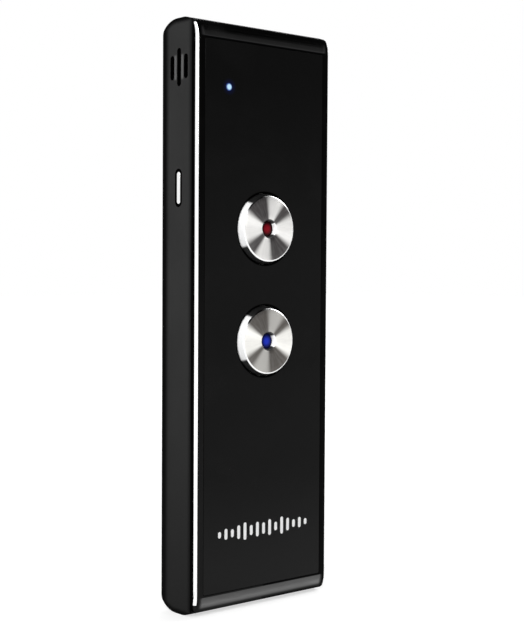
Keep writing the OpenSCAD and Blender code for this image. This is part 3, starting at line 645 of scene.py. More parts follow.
def matte_shell(name, light, dark, painted_foot_shade):
    """Matte moulded housing with painted shade along its rounded edges, by the seam, inside the slots and
    towards its foot, and a painted highlight on the slots' ribs; smoother along its edges.
    """
    painted_rib_highlight, edge_gloss = 0.09, 0.12
    material, tree, shader = new_material(name, Specular_IOR_Level=0.02)
    place = place_in_mm(tree)
    across, back, up = axes(tree, place)
    grain = use(tree, GRAIN, Place=place, Pitch=0.16)
    inward = short_of(tree, HALF_W, across)
    end = short_of(tree, MID_Z, math(tree, "SUBTRACT", up, MID_Z))
    rear = math(tree, "SUBTRACT", BACK, back)

    def turn_in(value, reach):
        """0 where the outline starts to curve in, 1 at its end."""
        return math(tree, "MAXIMUM", math(tree, "SUBTRACT", 1.0, math(tree, "DIVIDE", value, reach)), 0.0)

    # Painted shade, held in edge: darker along the rounded edges at the back and the ends, and by the seam.
    outline = diagonal(tree, turn_in(rear, BACK - FRONT - LAND_STOP), turn_in(end, REAR_DROP))
    painted_shade_by_outline = math(tree, "MAXIMUM", ramp(tree, outline, 0.68, 0.9), fade(tree, rear, 1.9, 3.8))
    painted_shade_by_seam = fade(tree, math(tree, "SUBTRACT", back, SEAM), -0.4, 1.6)
    edge = product(tree, math(tree, "MAXIMUM", painted_shade_by_outline, painted_shade_by_seam), fade(tree, inward, 0.25, 1.0))
    # Painted shade, held in inside: darker inside the slots, the bar's recess and the seam.
    inside = product(tree, ramp(tree, inward, 0.02, 0.12), ramp(tree, end, 6.0, 7.0),
                     ramp(tree, rear, 1.2, 1.7))
    # Painted highlight on the ribs between the sound slots.
    rib = fade(tree, apart(tree, apart(tree, back, SLOTS_Y), SLOT_PITCH / 2), 0.2, 0.6)
    along = fade(tree, apart(tree, up, SLOTS_Z), 2.4, 3.2)
    left_face = fade(tree, math(tree, "ADD", across, HALF_W), 0.1, 0.2)
    # Painted shade: darker towards the foot.
    tone = mix(tree, ramp(tree, up, -10.0, 80.0), painted_foot_shade, mix(tree, grain["Tone"], dark, light))
    tone_with_painted_rib_highlight = mix(tree, product(tree, rib, along, left_face, painted_rib_highlight), tone, grey(1.0))
    rough = ramp(tree, grain["Height"], 0.4, 1.2, 0.55, 0.7)
    feed(tree, shader, {"Base Color": mix(tree, math(tree, "MAXIMUM", edge, inside), tone_with_painted_rib_highlight, grey(0)),
                        "Roughness": math(tree, "SUBTRACT", rough, product(tree, edge, edge_gloss))})
    bump(tree, shader, grain["Height"], 0.006)
    return material


def cut_rim(name, centre):
    """Bright cut rim of a button, with a painted shadow darkening one sector of it."""
    shadow_turn, shadow_edge, shadow_core = (radians(value) for value in (124, 30, 17))
    material = polished(name, grey(0.95), grey(0.9), rough=(0.2, 0.34), size=3.0, Metallic=1.0)
    tree, shader, bright = opened(material)
    across, _, up = axes(tree, place_in_mm(tree, centre))
    # Painted shadow: the rim is darkened over one sector towards its upper left.
    turned = math(tree, "SUBTRACT", math(tree, "ARCTAN2", up, across), shadow_turn)
    shadow = ramp(tree, math(tree, "COSINE", turned), cos(shadow_edge), cos(shadow_core))
    feed(tree, shader, {"Base Color": mix(tree, shadow, bright, grey(0.03))})
    return material


def tinted_lens(name, centre, painted_rim_shade, bright):
    """Clear tinted button lens with painted shade that darkens it towards its rim."""
    material, tree, shader = new_material(name, Specular_IOR_Level=0.06, Coat_Roughness=0.08)
    distance = distance_from(tree, centre)
    specks = noise(tree, place_in_mm(tree), 0.5, detail=3.0)
    # Painted shade: the colour darkens from the bright middle to the rim.
    feed(tree, shader, {"Base Color": mix(tree, ramp(tree, distance, 0.35, 1.6), bright, painted_rim_shade),
                        "Roughness": ramp(tree, specks, 0.3, 0.7, 0.14, 0.26),
                        "Coat Weight": ramp(tree, distance, 0.0, 2.0, 0.08, 0.01)})
    return material


def lit_pipe(name, centre, core, edge):
    """Clear pin lit from behind."""
    material, tree, shader = new_material(name, Specular_IOR_Level=0.2, Emission_Strength=1.0)
    away = ramp(tree, distance_from(tree, centre), 0.42, 0.88)
    feed(tree, shader, {"Emission Color": mix(tree, away, core, edge),
                        "Base Color": mix(tree, away, grey(0.03), grey(0.008)),
                        "Roughness": ramp(tree, away, 0.0, 1.0, 0.35, 0.2)})
    return material


def plate_with_painted_glow(name, glow, wear_and_painted_sheen):
    """Polished black plate with a painted reflection that lightens it towards its foot, painted shade round
    the button holes and a painted glow of the status light in it.
    """
    material = polished(name, grey(0.0028), grey(0.0018), rough=(0.07, 0.13), size=18.0,
                        Specular_IOR_Level=0.075, Emission_Strength=1.0)
    tree, shader, black = opened(material)
    # Painted glow: the plate itself glows round the status light.
    lit = fade(tree, distance_from(tree, LIGHT_CENTRE), 0.9, 2.2)
    # Painted shade: a black ring on the plate round each button hole.
    near = math(tree, "MINIMUM", *(distance_from(tree, (0, FRONT, cap.z)) for cap in CAP_CENTRES.values()))
    painted_gap_shade = fade(tree, near, CAP_HOLE_D / 2 + 0.15, CAP_HOLE_D / 2 + 0.45)
    # Painted reflection: the plate lightens towards its foot.
    _, _, up = axes(tree, place_in_mm(tree))
    painted_floor_reflection = mix(tree, fade(tree, up, 4.0, 36.0), black, wear_and_painted_sheen)
    feed(tree, shader, {"Emission Color": mix(tree, lit, grey(0), glow),
                        "Base Color": mix(tree, painted_gap_shade, painted_floor_reflection, grey(0)), "Metallic": painted_gap_shade})
    return material


def banded_frame(name, wear_and_painted_sheen):
    """Gloss black frame with a painted sheen down its left side, fading out towards the top, whose curved
    end bands are polished dark metal with painted shade and highlight along their height.
    """
    # Painted shade and highlight along the end bands: grey levels by height, black at the outer edge.
    shades = [(0, 0.0), (1.5, 0.0), (1.9, 0.02), (2.2, 0.07), (2.5, 0.13), (2.9, 0.16), (3.7, 0.11),
              (END_BAND, 0.075)]
    material = polished(name, grey(0.002), grey(0.0012), rough=(0.1, 0.16), Specular_IOR_Level=0.02)
    tree, shader, black = opened(material)
    place = place_in_mm(tree, (0, 0, MID_Z))
    across, back, up = axes(tree, place)
    inward = short_of(tree, HALF_W, across)
    height = short_of(tree, MID_Z, up)
    painted_band_shade = greys(tree, math(tree, "DIVIDE", height, END_BAND, clamp=True),
                  [(at / END_BAND, level) for at, level in shades])
    foot = math(tree, "LESS_THAN", up, 0.0)
    polish = math(tree, "MAXIMUM", ramp(tree, height, 1.4, 2.6), foot)
    painted_sheen_level = math(tree, "MAXIMUM", ramp(tree, height, 1.9, 4.0, 0.0, 1.15), foot)
    band = product(tree, ramp(tree, height, 1.4, 2.2), ramp(tree, inward, 0.8, 2.4),
                   fade(tree, height, END_BAND - 0.4, END_BAND - 0.15))
    sideways = add(tree, "CombineXYZ", {"X": up, "Y": back, "Z": across}).outputs[0]
    lines = use(tree, DRAWN, Place=sideways, Pitch=0.2)["Height"]
    brushed_painted_shade = mix(tree, ramp(tree, lines, 0.3, 0.7, 0.0, 0.25), painted_band_shade, grey(0.03))
    # Painted sheen: the left side is lighter, most towards the foot.
    left = product(tree, fade(tree, up, -60.0, 40.0), math(tree, "LESS_THAN", across, 0.0))
    feed(tree, shader, {"Base Color": mix(tree, product(tree, math(tree, "POWER", band, 2.0), painted_sheen_level),
                                          mix(tree, left, black, wear_and_painted_sheen), brushed_painted_shade),
                        "Metallic": product(tree, band, polish)})
    return material


def solder_mask(name):
    """Green board: its copper tracks show through the lacquer as lighter lines."""
    material, tree, shader = new_material(name, Coat_Roughness=0.25)
    place = place_in_mm(tree)
    across, _, up = axes(tree, place)
    regions = add(tree, "TexVoronoi", {"Vector": place, "Scale": 0.16}, distance="CHEBYCHEV")
    turn = add(tree, "SeparateColor", {"Color": regions.outputs["Color"]}).outputs["Red"]
    chosen = mix(tree, math(tree, "GREATER_THAN", turn, 0.5), across, up)
    stripes = math(tree, "ABSOLUTE", math(tree, "SINE", product(tree, chosen, pi / 0.9)))
    tracks = ramp(tree, stripes, 0.55, 0.7)
    feed(tree, shader, {"Base Color": mix(tree, tracks, rgb(0.006, 0.06, 0.03), rgb(0.012, 0.12, 0.05)),
                        "Roughness": ramp(tree, noise(tree, place, 0.4), 0.3, 0.7, 0.3, 0.45),
                        "Coat Weight": ramp(tree, tracks, 0.0, 1.0, 0.2, 0.4)})
    bump(tree, shader, tracks, 0.03)
    return material


def crinkled_pouch(name):
    """Foil pouch of the battery cell, slightly wrinkled."""
    material, tree, shader = new_material(name, Metallic=0.8)
    place = place_in_mm(tree)
    folds = noise(tree, place, 5.0, detail=5.0, distortion=1.2)
    feed(tree, shader, {"Base Color": mix(tree, folds, rgb(0.36, 0.37, 0.41), rgb(0.52, 0.53, 0.57)),
                        "Roughness": ramp(tree, noise(tree, place, 0.6), 0.3, 0.7, 0.25, 0.38)})
    bump(tree, shader, folds, 0.12)
    return material


def rippled_film(name, centre):
    """Speaker cone: thin film with round ripples about X."""
    material, tree, shader = new_material(name, Specular_IOR_Level=0.6)
    flat = vector(tree, "MULTIPLY", place_in_mm(tree, centre), (0, 1, 1))
    ripples = math(tree, "SINE", product(tree, vector(tree, "LENGTH", flat), tau / 1.1))
    tone = mix(tree, ramp(tree, ripples, -1, 1), rgb(0.22, 0.18, 0.09), rgb(0.4, 0.34, 0.2))
    feed(tree, shader, {"Base Color": tone,
                        "Roughness": ramp(tree, noise(tree, flat, 0.5), 0.3, 0.7, 0.3, 0.45)})
    bump(tree, shader, ripples, 0.08)
    return material


def open_foam(name):
    """Dark foam with small open cells."""
    material, tree, shader = new_material(name, Specular_IOR_Level=0.2)
    cells = add(tree, "TexVoronoi", {"Vector": place_in_mm(tree), "Scale": 3.5}).outputs["Distance"]
    feed(tree, shader, {"Base Color": mix(tree, ramp(tree, cells, 0.0, 0.5), grey(0.07), grey(0.02)),
                        "Roughness": ramp(tree, cells, 0.0, 0.6, 0.8, 0.98)})
    bump(tree, shader, product(tree, cells, -1.0), 0.12)
    return material


def woven_mesh(name):
    """Dark acoustic mesh behind the sound slots; its near-black colour also serves as painted shade inside
    them.
    """
    material, tree, shader = new_material(name, Specular_IOR_Level=0.01)
    weave = use(tree, WEAVE, Place=place_in_mm(tree), Pitch=0.32)["Height"]
    feed(tree, shader, {"Base Color": mix(tree, ramp(tree, weave, 0.55, 1.0), grey(0.0005), grey(0.004)),
                        "Roughness": ramp(tree, weave, 0.5, 1.0, 0.9, 0.6)})
    bump(tree, shader, weave, 0.06)
    return material


def chip_light(name, node):
    """Chip light: pale body with a small lit window at its front."""
    material, tree, shader = new_material(name, Emission_Strength=1.0, Specular_IOR_Level=0.4)
    across, _, up = middle_of(node)
    window = (across, box_mm(node)[0].y, up)
    lit = fade(tree, distance_from(tree, window), 0.3, 0.8)
    grain = use(tree, GRAIN, Place=place_in_mm(tree), Pitch=0.1)
    feed(tree, shader, {"Base Color": mix(tree, grain["Tone"], rgb(0.62, 0.62, 0.54), rgb(0.7, 0.7, 0.62)),
                        "Emission Color": mix(tree, lit, grey(0), rgb(0.2, 0.5, 1.0)),
                        "Roughness": ramp(tree, grain["Height"], 0.4, 1.2, 0.3, 0.45)})
    return material


def on_both(make, name, *values, **settings):
    """A finish for each round button, centred on it."""
    return {colour: make(f"{name}_{colour}", centre, *values, **settings)
            for colour, centre in CAP_CENTRES.items()}


SPUN = {"Metallic": 1.0, "Anisotropic": 0.85}
# Cap faces with painted highlights: bright fans of light painted over darker metal.
CAP_FACES = {
    "red": turned_metal_painted_fans("turned_cap_painted_fans_red", CAP_CENTRES["red"], (-2, 37, 18), rgb(0.075, 0.069, 0.069),
                        rgb(0.93, 0.92, 0.9), upright=(74, 27, 10), strength=0.85, **SPUN),
    "blue": turned_metal_painted_fans("turned_cap_painted_fans_blue", CAP_CENTRES["blue"], (-2, 37, 18), rgb(0.115, 0.105, 0.096),
                         rgb(0.92, 0.91, 0.87), upright=(70, 29, 9), strength=0.42, **SPUN)}
CAP_RIMS = on_both(cut_rim, "cut_rim")
# Skirts and countersinks: painted highlight towards the left and right, painted shade elsewhere.
CAP_WALLS = on_both(turned_metal_painted_fans, "skirt_painted_highlight", (-8, 43, 37), grey(0.004), grey(1.0), rough=(0.34, 0.44),
                    streaks=0.0, depth=0.0002, Metallic=0.1)
DOT_WALLS = on_both(turned_metal_painted_fans, "countersink", (0, 45, 36), grey(0.02), grey(1.0), rough=(0.4, 0.5),
                    streaks=0.0, depth=0.0005, Metallic=0.15)
FRAME_EDGE = moulded("frame_edge", grey(0.0022), grey(0.0014), rough=(0.5, 0.65), Specular_IOR_Level=0.0)
INK = polished("white_ink", grey(0.9), grey(0.84), rough=(0.35, 0.5), size=3.0)

FINISHES = {
    # Matte housing; its last colour is the painted shade at the foot.
    "housing_plastic": matte_shell("matte_housing", grey(0.0355), grey(0.0315), grey(0.0178)),
    # Frame with a painted sheen on its left side and painted shade along its end bands.
    "frame_gloss": banded_frame("gloss_frame", grey(0.0125)),
    # Plate with a painted glow of the status light and a painted reflection towards the foot.
    "panel_gloss": plate_with_painted_glow("polished_plate", rgb(0, 0.001, 0.016), grey(0.0095)),
    "trim_bright": polished("bright_trim", grey(1.0), grey(0.97), rough=(0.12, 0.22), size=6.0,
                            Metallic=1.0),
    "film": moulded("adhesive_film", rgb(0.5, 0.5, 0.45), rgb(0.42, 0.42, 0.38), rough=(0.25, 0.4)),
    "cap_metal": CAP_FACES["red"],
    "lens_red": tinted_lens("red_lens", LENS_CENTRES["red"], rgb(0.012, 0.0, 0.0008),
                            rgb(0.235, 0.0, 0.008)),
    "lens_blue": tinted_lens("blue_lens", LENS_CENTRES["blue"], rgb(0.001, 0.003, 0.05),
                             rgb(0.009, 0.03, 0.52)),
    "carrier_plastic": moulded("natural_carrier", rgb(0.62, 0.62, 0.58), rgb(0.54, 0.54, 0.5), pitch=0.3),
    "switch_black": moulded("switch_plastic", grey(0.03), grey(0.02), pitch=0.1, rough=(0.3, 0.45)),
    "steel_sheet": drawn_sheet("stamped_steel", grey(0.62), grey(0.52)),
    "power_bright": polished("plated_bar", grey(0.94), grey(0.9), rough=(0.1, 0.2), size=4.0, Metallic=1.0),
    "light_clear": lit_pipe("lit_pipe", LIGHT_CENTRE, rgb(0.50, 0.78, 1.0), rgb(0.004, 0.03, 0.2)),
    "led_body": chip_light("chip_light", "status_led"),
    "board_green": solder_mask("solder_mask"),
    "chip_black": moulded("chip_resin", grey(0.026), grey(0.018), pitch=0.07, rough=(0.38, 0.52)),
    "ceramic_cream": moulded("fired_ceramic", rgb(0.66, 0.62, 0.52), rgb(0.58, 0.54, 0.44), pitch=0.12,
                             rough=(0.35, 0.5)),
    "ferrite": moulded("sintered_ferrite", grey(0.07), grey(0.045), pitch=0.09, depth=0.008),
    "rubber_dark": moulded("soft_rubber", grey(0.03), grey(0.022), pitch=0.25, rough=(0.7, 0.85)),
    "mic_can": drawn_sheet("drawn_can", grey(0.74), grey(0.66), rough=(0.2, 0.32)),
    "speaker_plastic": moulded("speaker_frame", grey(0.045), grey(0.034), pitch=0.12, rough=(0.4, 0.55)),
    "cone_film": rippled_film("cone_film", middle_of("speaker_cone")),
    "foam_dark": open_foam("dark_foam"),
    "mesh_dark": woven_mesh("acoustic_mesh"),
    "lead_red": polished("lead_cover", rgb(0.45, 0.02, 0.02), rgb(0.36, 0.012, 0.012), rough=(0.35, 0.5)),
    "cell_wrap": crinkled_pouch("cell_pouch"),
    "plug_ivory": moulded("plug_resin", rgb(0.68, 0.66, 0.58), rgb(0.6, 0.58, 0.5), pitch=0.12)}

for part in frame["record"]["subparts"]:
    for finish_slot in frame["nodes"][part["node"]].material_slots:
        finish_slot.material = FINISHES[part["material_slot"]]

# ---- Pieces ----------------------------------------------------------------------------------


def ramp_drop(depth):
    """How far an end lies short of the full height in front of its land."""
    return END_EDGE_DROP * (LAND_START - depth) / (LAND_START - END_EDGE_DEPTH)


def end_outline(inset):
    """Foot of the housing seen from the side, as depth and height, from before the seam to the back."""
    reach = BACK - FRONT - inset - LAND_STOP
    arc = [(LAND_STOP + reach * sin(turn), REAR_DROP - (REAR_DROP - inset) * cos(turn))
           for turn in evenly(0, pi / 2, ARC_STEPS)]
    rise = ramp_drop(LAND_START - CREST)
    crest = [(LAND_START + CREST * (2 * share - 1), inset + rise * (1 - share) ** 2)
             for share in evenly(0, 1, 5)]
    return [(-OVER, inset + ramp_drop(-OVER)), *crest, *arc]


def side_block(inset, radius):
    """Block with the housing's side outline, its two long edges at the back rounded."""
    foot = end_outline(inset)
    top = [(depth, TOP - height) for depth, height in reversed(foot)]
    half = HALF_W - inset
    bm = sweep([(-half - OVER, FRONT + depth, height) for depth, height in foot + top],
               [(2 * (half + OVER), 0, 0)])
    plan = rounded_block((-half, FRONT - 4 * OVER, -OVER), (half, BACK - inset, TOP + OVER), 2, radius,
                         END_STEPS)
    return combine(bm, [plan], "INTERSECT")


def side_slot(x_from, x_to, y, z, width, length):
    """An upright slot with round ends, from one X to another."""
    return rounded_block((x_from, y - width / 2, z - length / 2), (x_to, y + width / 2, z + length / 2), 0,
                         width / 2 - ALMOST, END_STEPS)


def housing():
    shell = side_block(0, EDGE_R)
    slice_off(shell, (0, SEAM, 0), (0, -1, 0))
    left, inside = -HALF_W - OVER, -HALF_W + WALL + OVER
    cutters = [side_block(WALL, INNER_EDGE_R)]
    for shift, length in ((0, SLOT_LONG), (-SLOT_PITCH, SLOT_SHORT), (SLOT_PITCH, SLOT_SHORT)):
        cutters.append(side_slot(left, inside, SLOTS_Y + shift, SLOTS_Z, SLOT_W, length))
    opening_w, opening_l = BAR_W + 2 * BAR_GAP, BAR_L + 2 * BAR_GAP
    cutters.append(side_slot(left, -HALF_W + RECESS_D, BAR_Y, BAR_Z, opening_w + 2 * RECESS_MARGIN,
                             opening_l + 2 * RECESS_MARGIN))
    cutters.append(side_slot(left, inside, BAR_Y, BAR_Z, opening_w, opening_l))
    cutters.append(rounded_block(
        (SOCKET_LOW.x - SOCKET_GAP, SOCKET_LOW.y - SOCKET_GAP, -OVER),
        (SOCKET_HIGH.x + SOCKET_GAP, SOCKET_HIGH.y + SOCKET_GAP, WALL + OVER), 2, SOCKET_CORNER))
    cutters.append(pin((MIC_X, MIC_Y, -OVER), MIC_HOLE_D, 2, WALL + 2 * OVER, 32))
    return within(ease(combine(shell, cutters), HOUSING_EASE))


def band_depth(height):
    """How far the front curves back at a height, near either end."""
    reach = max(0, END_BAND - min(height, TOP - height))
    return BAND_R - (BAND_R ** 2 - reach ** 2) ** 0.5


def edge_sweep(section, foot, top):
    """Run a left-hand section of X and depth up one long front edge and back along both curved bands."""
    high_band = [TOP - END_BAND + rise for rise in evenly(0, top - TOP + END_BAND, BAND_STEPS)]
    stations = evenly(foot, END_BAND, BAND_STEPS) + high_band
    start = [(x, FRONT + depth + band_depth(foot), foot) for x, depth in section]
    steps = [(0, band_depth(b) - band_depth(a), b - a) for a, b in zip(stations, stations[1:])]
    return sweep(start, steps)


def mirrored(bm):
    """The same shape on the right."""
    bmesh.ops.scale(bm, vec=(-1, 1, 1), verts=bm.verts)
    bmesh.ops.reverse_faces(bm, faces=bm.faces)
    return bm


def strip_form(section):
    """A section run between the strip's ends, its top rounded off to a blunt tip."""
    bm = edge_sweep(section, STRIP_FOOT, STRIP_TIP)
    across, up = Vector((STRIP_W, -STRIP_D, 0)), Vector((0, 0, 1))
    outer = Vector((-HALF_W, FRONT + STRIP_D + band_depth(STRIP_TIP), STRIP_TIP))
    for (a, low), (b, high) in zip(STRIP_TIP_CURVE, STRIP_TIP_CURVE[1:]):
        slice_off(bm, outer + across * a + up * low,
                  across.normalized() * (high - low) + up * (a - b) * across.length)
    return bm


def trim_strip(side):
    """Strip with a slightly crowned face."""
    swell = STRIP_CROWN / Vector((STRIP_W, STRIP_D)).length
    crown = []
    for t in (0.2, 0.4, 0.6, 0.8):
        out = swell * 4 * t * (1 - t)
        crown.append((-HALF_W + STRIP_W * t - STRIP_D * out, STRIP_D * (1 - t) - STRIP_W * out))
    section = [(-HALF_W, STRIP_D), *crown, (STRIP_INNER, 0), (STRIP_INNER, STRIP_D)]
    bm = ease(strip_form(section), STRIP_EASE)
    return bm if side < 0 else mirrored(bm)


def strip_seat():
    outer = -HALF_W - OVER
    return strip_form([(outer, STRIP_D), (outer, -OVER), (STRIP_INNER, -OVER), (STRIP_INNER, STRIP_D)])


def edge_chamfer():
    low, high = (-HALF_W - STRIP_W, 2 * STRIP_D), (STRIP_INNER + STRIP_W, -STRIP_D)
    return edge_sweep([low, (low[0], high[1]), high], -OVER, TOP + OVER)


def round_holes(length):
    """Cutters for the two buttons and the status light, through the front."""
    start = FRONT - OVER
    holes = [pin((0, start, centre.z), CAP_HOLE_D, 1, length, 128) for centre in CAP_CENTRES.values()]
    holes.append(pin((LIGHT_CENTRE.x, start, LIGHT_CENTRE.z), LIGHT_D + 2 * LIGHT_GAP, 1, length, 48))
    return holes


def roll_edge(bm, y, z, width):
    """Round the crosswise edge at this place."""
    place = Vector((y, z))
    edges = [e for e in bm.edges if runs_along(e, 0) and (e.verts[0].co.yz - place).length < 0.01]
    round_edges(bm, edges, width, 5, clamp_overlap=True)


def front_frame():
    """Frame round the plate: curved ends, a web behind the plate and a lip inside the housing."""
    foot = ramp_drop(FRAME_SIDE)
    rim = rounded_block((-HALF_W, FRONT, foot), (HALF_W, FRONT + FRAME_SIDE, TOP - foot), 1, FRAME_CORNER_R)
    for z, up in ((0, 1), (TOP, -1)):
        turns = evenly(END_BAND, END_EDGE_DROP, BAND_STEPS)
        for a, b in zip(turns, turns[1:]):
            slice_off(rim, (0, FRONT + band_depth(a), z + up * a),
                      (0, b - a, -up * (band_depth(b) - band_depth(a))))
        slice_off(rim, (0, FRONT + END_EDGE_DEPTH, z + up * END_EDGE_DROP),
                  (0, -END_EDGE_DROP, -up * (LAND_START - END_EDGE_DEPTH)))
        roll_edge(rim, FRONT + END_EDGE_DEPTH, z + up * END_EDGE_DROP, BAND_ROLL)
    lip_x, lip_foot = HALF_W - WALL - LIP_GAP, WALL + ramp_drop(SEAM - FRONT) + LIP_GAP
    lip = rounded_block((-lip_x, FRONT + WEB_FRONT, lip_foot), (lip_x, FRAME_HIGH.y, TOP - lip_foot), 1,
                        LIP_CORNER_R)
    inside = rounded_block((LIP_T - lip_x, FRONT + WEB_BACK, lip_foot + LIP_T),
                           (lip_x - LIP_T, FRAME_HIGH.y + OVER, TOP - lip_foot - LIP_T), 1, LIP_CORNER_R)
    low, high = PANEL_LOW - Vector((PANEL_GAP,) * 3), PANEL_HIGH + Vector((PANEL_GAP,) * 3)
    recess = rounded_block((low.x, FRONT - OVER, low.z), (high.x, FRONT + WEB_FRONT, high.z), 1,
                           PANEL_CORNER_R + PANEL_GAP)
    whole = combine(rim, [lip], "UNION")
    cutters = [inside, recess, *round_holes(WEB_BACK + 4 * OVER), strip_seat(), mirrored(strip_seat()),
               edge_chamfer(), mirrored(edge_chamfer())]
    return within(ease(combine(whole, cutters), FRONT_EASE))


def front_plate():
    plate = rounded_block(PANEL_LOW, PANEL_HIGH, 1, PANEL_CORNER_R)
    return ease(combine(plate, round_holes(4 * OVER)), FRONT_EASE, 3)


def frame_part(face):
    """0 for the gloss front, 1 for the sides and the back."""
    return 0 if face.normal.y < -0.6 else 1


def button_cap(colour):
    """Spun cap with a bright rim, a tapered skirt, a countersunk middle and a hollow back."""
    height = CAPS[colour][1].y - CAP_CENTRES[colour].y
    hole_r, dot_r, face_r, outer = DOT_FOOT_D / 2, DOT_D / 2, CAP_FACE_D / 2, CAP_D / 2
    rim_r, inner = face_r - CAP_RIM_W, outer - CAP_WALL
    countersink = [(hole_r, CAP_FACE_T), (hole_r, DOT_SINK), (dot_r, 0.03), (dot_r + 0.05, 0.0)]
    face = [(3.5, 0.0), (5.0, 0.0), (6.5, 0.0), (rim_r, 0.0)]
    rim = [(rim_r + 0.05, 0.02), (face_r - 0.08, CAP_RIM_D - 0.04), (face_r, CAP_RIM_D + 0.06)]
    skirt = [(outer - 0.02, CAP_PROUD - 0.05), (outer, CAP_PROUD + 0.1), (outer, height)]
    hollow = [(inner, height), (inner, CAP_FACE_T), (hole_r, CAP_FACE_T)]
    return spun(countersink + face + rim + skirt + hollow, CAP_CENTRES[colour])


def cap_part(face):
    """0 for the spun face, 1 for the bright rim, 2 for the skirt and the back, 3 for the countersink."""
    middle = face.calc_center_median()
    depth = middle.y - CAP_CENTRES["red"].y
    radius = min((middle - centre).xz.length for centre in CAP_CENTRES.values())
    if depth < 0.005:
        return 0
    if radius < DOT_D / 2 + 0.1:
        return 3
    return 1 if depth < CAP_RIM_D + 0.08 else 2


def button_lens(colour):
    """Slightly domed lens with a hidden rim behind the cap."""
    lens_r, rim_r = DOT_FOOT_D / 2 - 0.02, DOT_D / 2 + LENS_RIM
    depth = LENSES[colour][1].y - LENS_CENTRES[colour].y
    dome = [(lens_r * share, LENS_CROWN * share ** 2) for share in evenly(0, 1, DOME_STEPS)]
    rim = [(lens_r, depth - LENS_RIM), (rim_r, depth - LENS_RIM), (rim_r, depth), (0, depth)]
    return spun(dome + rim, LENS_CENTRES[colour], 64)


def power_bar():
    """Bar with round ends and a rounded face, on its hidden flange."""
    flange_x = -HALF_W + WALL + FLANGE_GAP
    bar = side_slot(-HALF_W, flange_x, BAR_Y, BAR_Z, BAR_W, BAR_L)
    flange = rounded_block((flange_x, *BAR_LOW.yz), (flange_x + FLANGE_T, *BAR_HIGH.yz), 0,
                           (BAR_HIGH.y - BAR_LOW.y) / 2 - 10 * ALMOST, END_STEPS)
    return ease(combine(bar, [flange], "UNION"), BAR_EASE, 4)


def light_pipe():
    """Clear pin with a domed front and its hidden rim."""
    length, radius, rim_back = LIGHT_HIGH.y - LIGHT_LOW.y, LIGHT_D / 2, WEB_BACK + LIGHT_RIM_T
    rim_r = radius + LIGHT_RIM_W
    dome = [(radius * sin(turn), LIGHT_CROWN * (1 - cos(turn))) for turn in evenly(0, pi / 2, DOME_STEPS)]
    rim = [(radius, WEB_BACK), (rim_r, WEB_BACK), (rim_r, rim_back), (radius, rim_back)]
    return spun(dome + rim + [(radius, length), (0, length)], LIGHT_CENTRE, 48)


def level_bars():
    """Row of short upright bars printed on the plate, like a sound level."""
    row = bmesh.new()
    for number, share in enumerate(LEVEL_SHARES):
        x = (LEVEL_W - LEVEL_BAR_W) * (number / (len(LEVEL_SHARES) - 1) - 0.5)
        half_w, half_tall = LEVEL_BAR_W / 2, LEVEL_TALL * share / 2
        bar = rounded_block((x - half_w, FRONT - INK_T, LEVEL_Z - half_tall),
                            (x + half_w, FRONT, LEVEL_Z + half_tall), 1, half_w - ALMOST, 5)
        mesh = bpy.data.meshes.new("bar")
        bar.to_mesh(mesh)
        row.from_mesh(mesh)
        bpy.data.meshes.remove(mesh)
        bar.free()
    return row


piece("housing_shell", housing(), "case", ["rear_housing"], "housing_plastic")
piece("frame_rim", front_frame(), "case", ["front_frame"], "frame_gloss",
      FINISHES["frame_gloss"], FRAME_EDGE, pick=frame_part)
piece("black_plate", front_plate(), "case", ["front_panel"], "panel_gloss")
for side, where in ((-1, "left"), (1, "right")):
    piece(f"bright_strip_{where}", trim_strip(side), "case", [f"trim_strip_{where}"], "trim_bright")
for colour in CAPS:
    piece(f"{colour}_cap", button_cap(colour), f"{colour}_button", [f"{colour}_button_cap"], "cap_metal",
          CAP_FACES[colour], CAP_RIMS[colour], CAP_WALLS[colour], DOT_WALLS[colour], pick=cap_part)
    piece(f"{colour}_lens", button_lens(colour), f"{colour}_button", [f"{colour}_button_lens"],
          f"lens_{colour}")
piece("power_bar_bright", power_bar(), "power_bar", ["power_button"], "power_bright")
piece("light_pin", light_pipe(), "case", ["led_light_pipe"], "light_clear")
piece("level_print", level_bars(), "case", [], None, INK)

# ---- Studio: lengths in metres, turns in degrees ---------------------------------------------

FLOOR_HALF = 3.0
FLOOR_GLOW = 0.62  # at the object; 1 is white
AMBIENT = 0.25
CURTAIN_R = 0.8
CURTAIN_W = 0.62
CURTAIN_TURN = 42
CURTAIN_RISE = 78
CURTAIN_SHADES = [(0, 1.0), (2.4, 0.95), (8.5, 0.58), (12, 0.44), (16, 0.38), (20, 0.2), (24.5, 0.14),
                  (28.6, 0.11), (33, 0.04), (38, 0.008)]  # rise and level
LAMPS = {  # turn from the front towards +X, rise, reach, size, share of the light
    "key_left": (-50, 28, 0.8, 0.45, 0.92),
    "fill_right": (80, 35, 0.9, 0.5, 0.4),
    "back_right": (145, 35, 0.9, 0.5, 0.45)}
CAMERA_LENS = 73.125
CAMERA_PLACE = (-0.205907, -0.242696, 0.081524)
CAMERA_TURN = (87.777, -0.339, -40.916)


def seen_directly(tree):
    """1 where a camera, mirror or glass ray arrives, 0 for scattered light."""
    path = add(tree, "LightPath").outputs
    return math(tree, "MAXIMUM", path["Is Camera Ray"],
                math(tree, "MAXIMUM", path["Is Glossy Ray"], path["Is Transmission Ray"]))


def pale_floor():
    bm = bmesh.new()
    bmesh.ops.create_grid(bm, x_segments=1, y_segments=1, size=FLOOR_HALF)
    floor = stand("floor", bm)
    material, tree, shader = new_material("pale_floor", Roughness=0.9, Specular_IOR_Level=0.0,
                                          Base_Color=grey(0.5), Emission_Color=grey(1.0))
    away = vector(tree, "LENGTH", add(tree, "TexCoord").outputs["Object"])
    glow = ramp(tree, away, 0.3, 1.6, FLOOR_GLOW, 1.0)
    feed(tree, shader, {"Emission Strength": product(tree, seen_directly(tree), glow)})
    floor.data.materials.append(material)


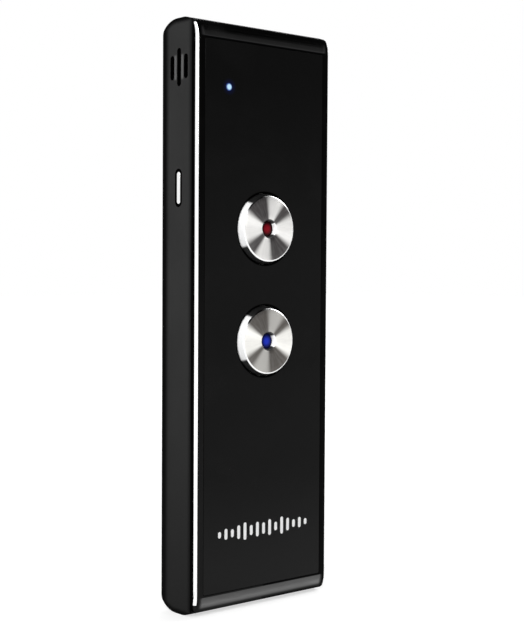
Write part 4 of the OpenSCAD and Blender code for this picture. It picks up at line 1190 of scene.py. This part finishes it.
def world_light():
    world = bpy.data.worlds.new("studio")
    bpy.context.scene.world = world
    world.use_nodes = True
    tree = world.node_tree
    share = product(tree, seen_directly(tree), 1.0 - AMBIENT)
    strength = math(tree, "ADD", share, AMBIENT)
    feed(tree, tree.nodes["Background"], {"Color": grey(1.0), "Strength": strength})


def front_curtain():
    """Curved studio curtain that only polished faces mirror."""
    bm = bmesh.new()
    foot = [bm.verts.new((side * CURTAIN_W / 2, -CURTAIN_R, 0)) for side in (-1, 1)]
    edge = bm.edges.new(foot)
    bmesh.ops.spin(bm, geom=[*foot, edge], cent=(0, 0, 0), axis=(1, 0, 0), angle=-radians(CURTAIN_RISE),
                   steps=32, use_merge=False)
    turned = Matrix.Rotation(radians(CURTAIN_TURN), 3, "Z")
    bmesh.ops.rotate(bm, verts=bm.verts, cent=(0, 0, 0), matrix=turned)
    curtain = stand("front_curtain", bm)
    material, tree, shader = new_material("front_curtain_cloth", Base_Color=grey(0), Roughness=1.0,
                                          Specular_IOR_Level=0.0, Emission_Strength=1.0)
    across, back, up = axes(tree, add(tree, "TexCoord").outputs["Object"])
    rise = math(tree, "ARCTAN2", math(tree, "SUBTRACT", up, MID_Z / METRE), diagonal(tree, across, back))
    share = math(tree, "DIVIDE", rise, radians(CURTAIN_RISE), clamp=True)
    shades = [(degrees / CURTAIN_RISE, level) for degrees, level in CURTAIN_SHADES]
    feed(tree, shader, {"Emission Color": greys(tree, share, shades)})
    curtain.data.materials.append(material)
    for kind in ("camera", "diffuse", "transmission", "volume_scatter", "shadow"):
        setattr(curtain, "visible_" + kind, False)


def soft_lamp(name, turn, rise, reach, size, level):
    """Soft square lamp that faces the object."""
    lamp = bpy.data.lights.new(name, "AREA")
    lamp.size = size
    lamp.energy = level * pi ** 2 * reach ** 2
    made = bpy.data.objects.new(name, lamp)
    flat = cos(radians(rise))
    away = Vector((sin(radians(turn)) * flat, -cos(radians(turn)) * flat, sin(radians(rise))))
    made.location = Vector((0, 0, MID_Z / METRE)) + away * reach
    made.rotation_euler = away.to_track_quat("Z", "Y").to_euler()
    bpy.context.scene.collection.objects.link(made)


pale_floor()
world_light()
front_curtain()
for name, values in LAMPS.items():
    soft_lamp(name, *values)

camera = bpy.data.objects.new("camera", bpy.data.cameras.new("camera"))
camera.data.lens = CAMERA_LENS
camera.data.clip_start = 0.01
camera.location = CAMERA_PLACE
camera.rotation_euler = [radians(turn) for turn in CAMERA_TURN]
bpy.context.scene.collection.objects.link(camera)
bpy.context.scene.camera = camera
bpy.context.scene.view_settings.view_transform = "Standard"
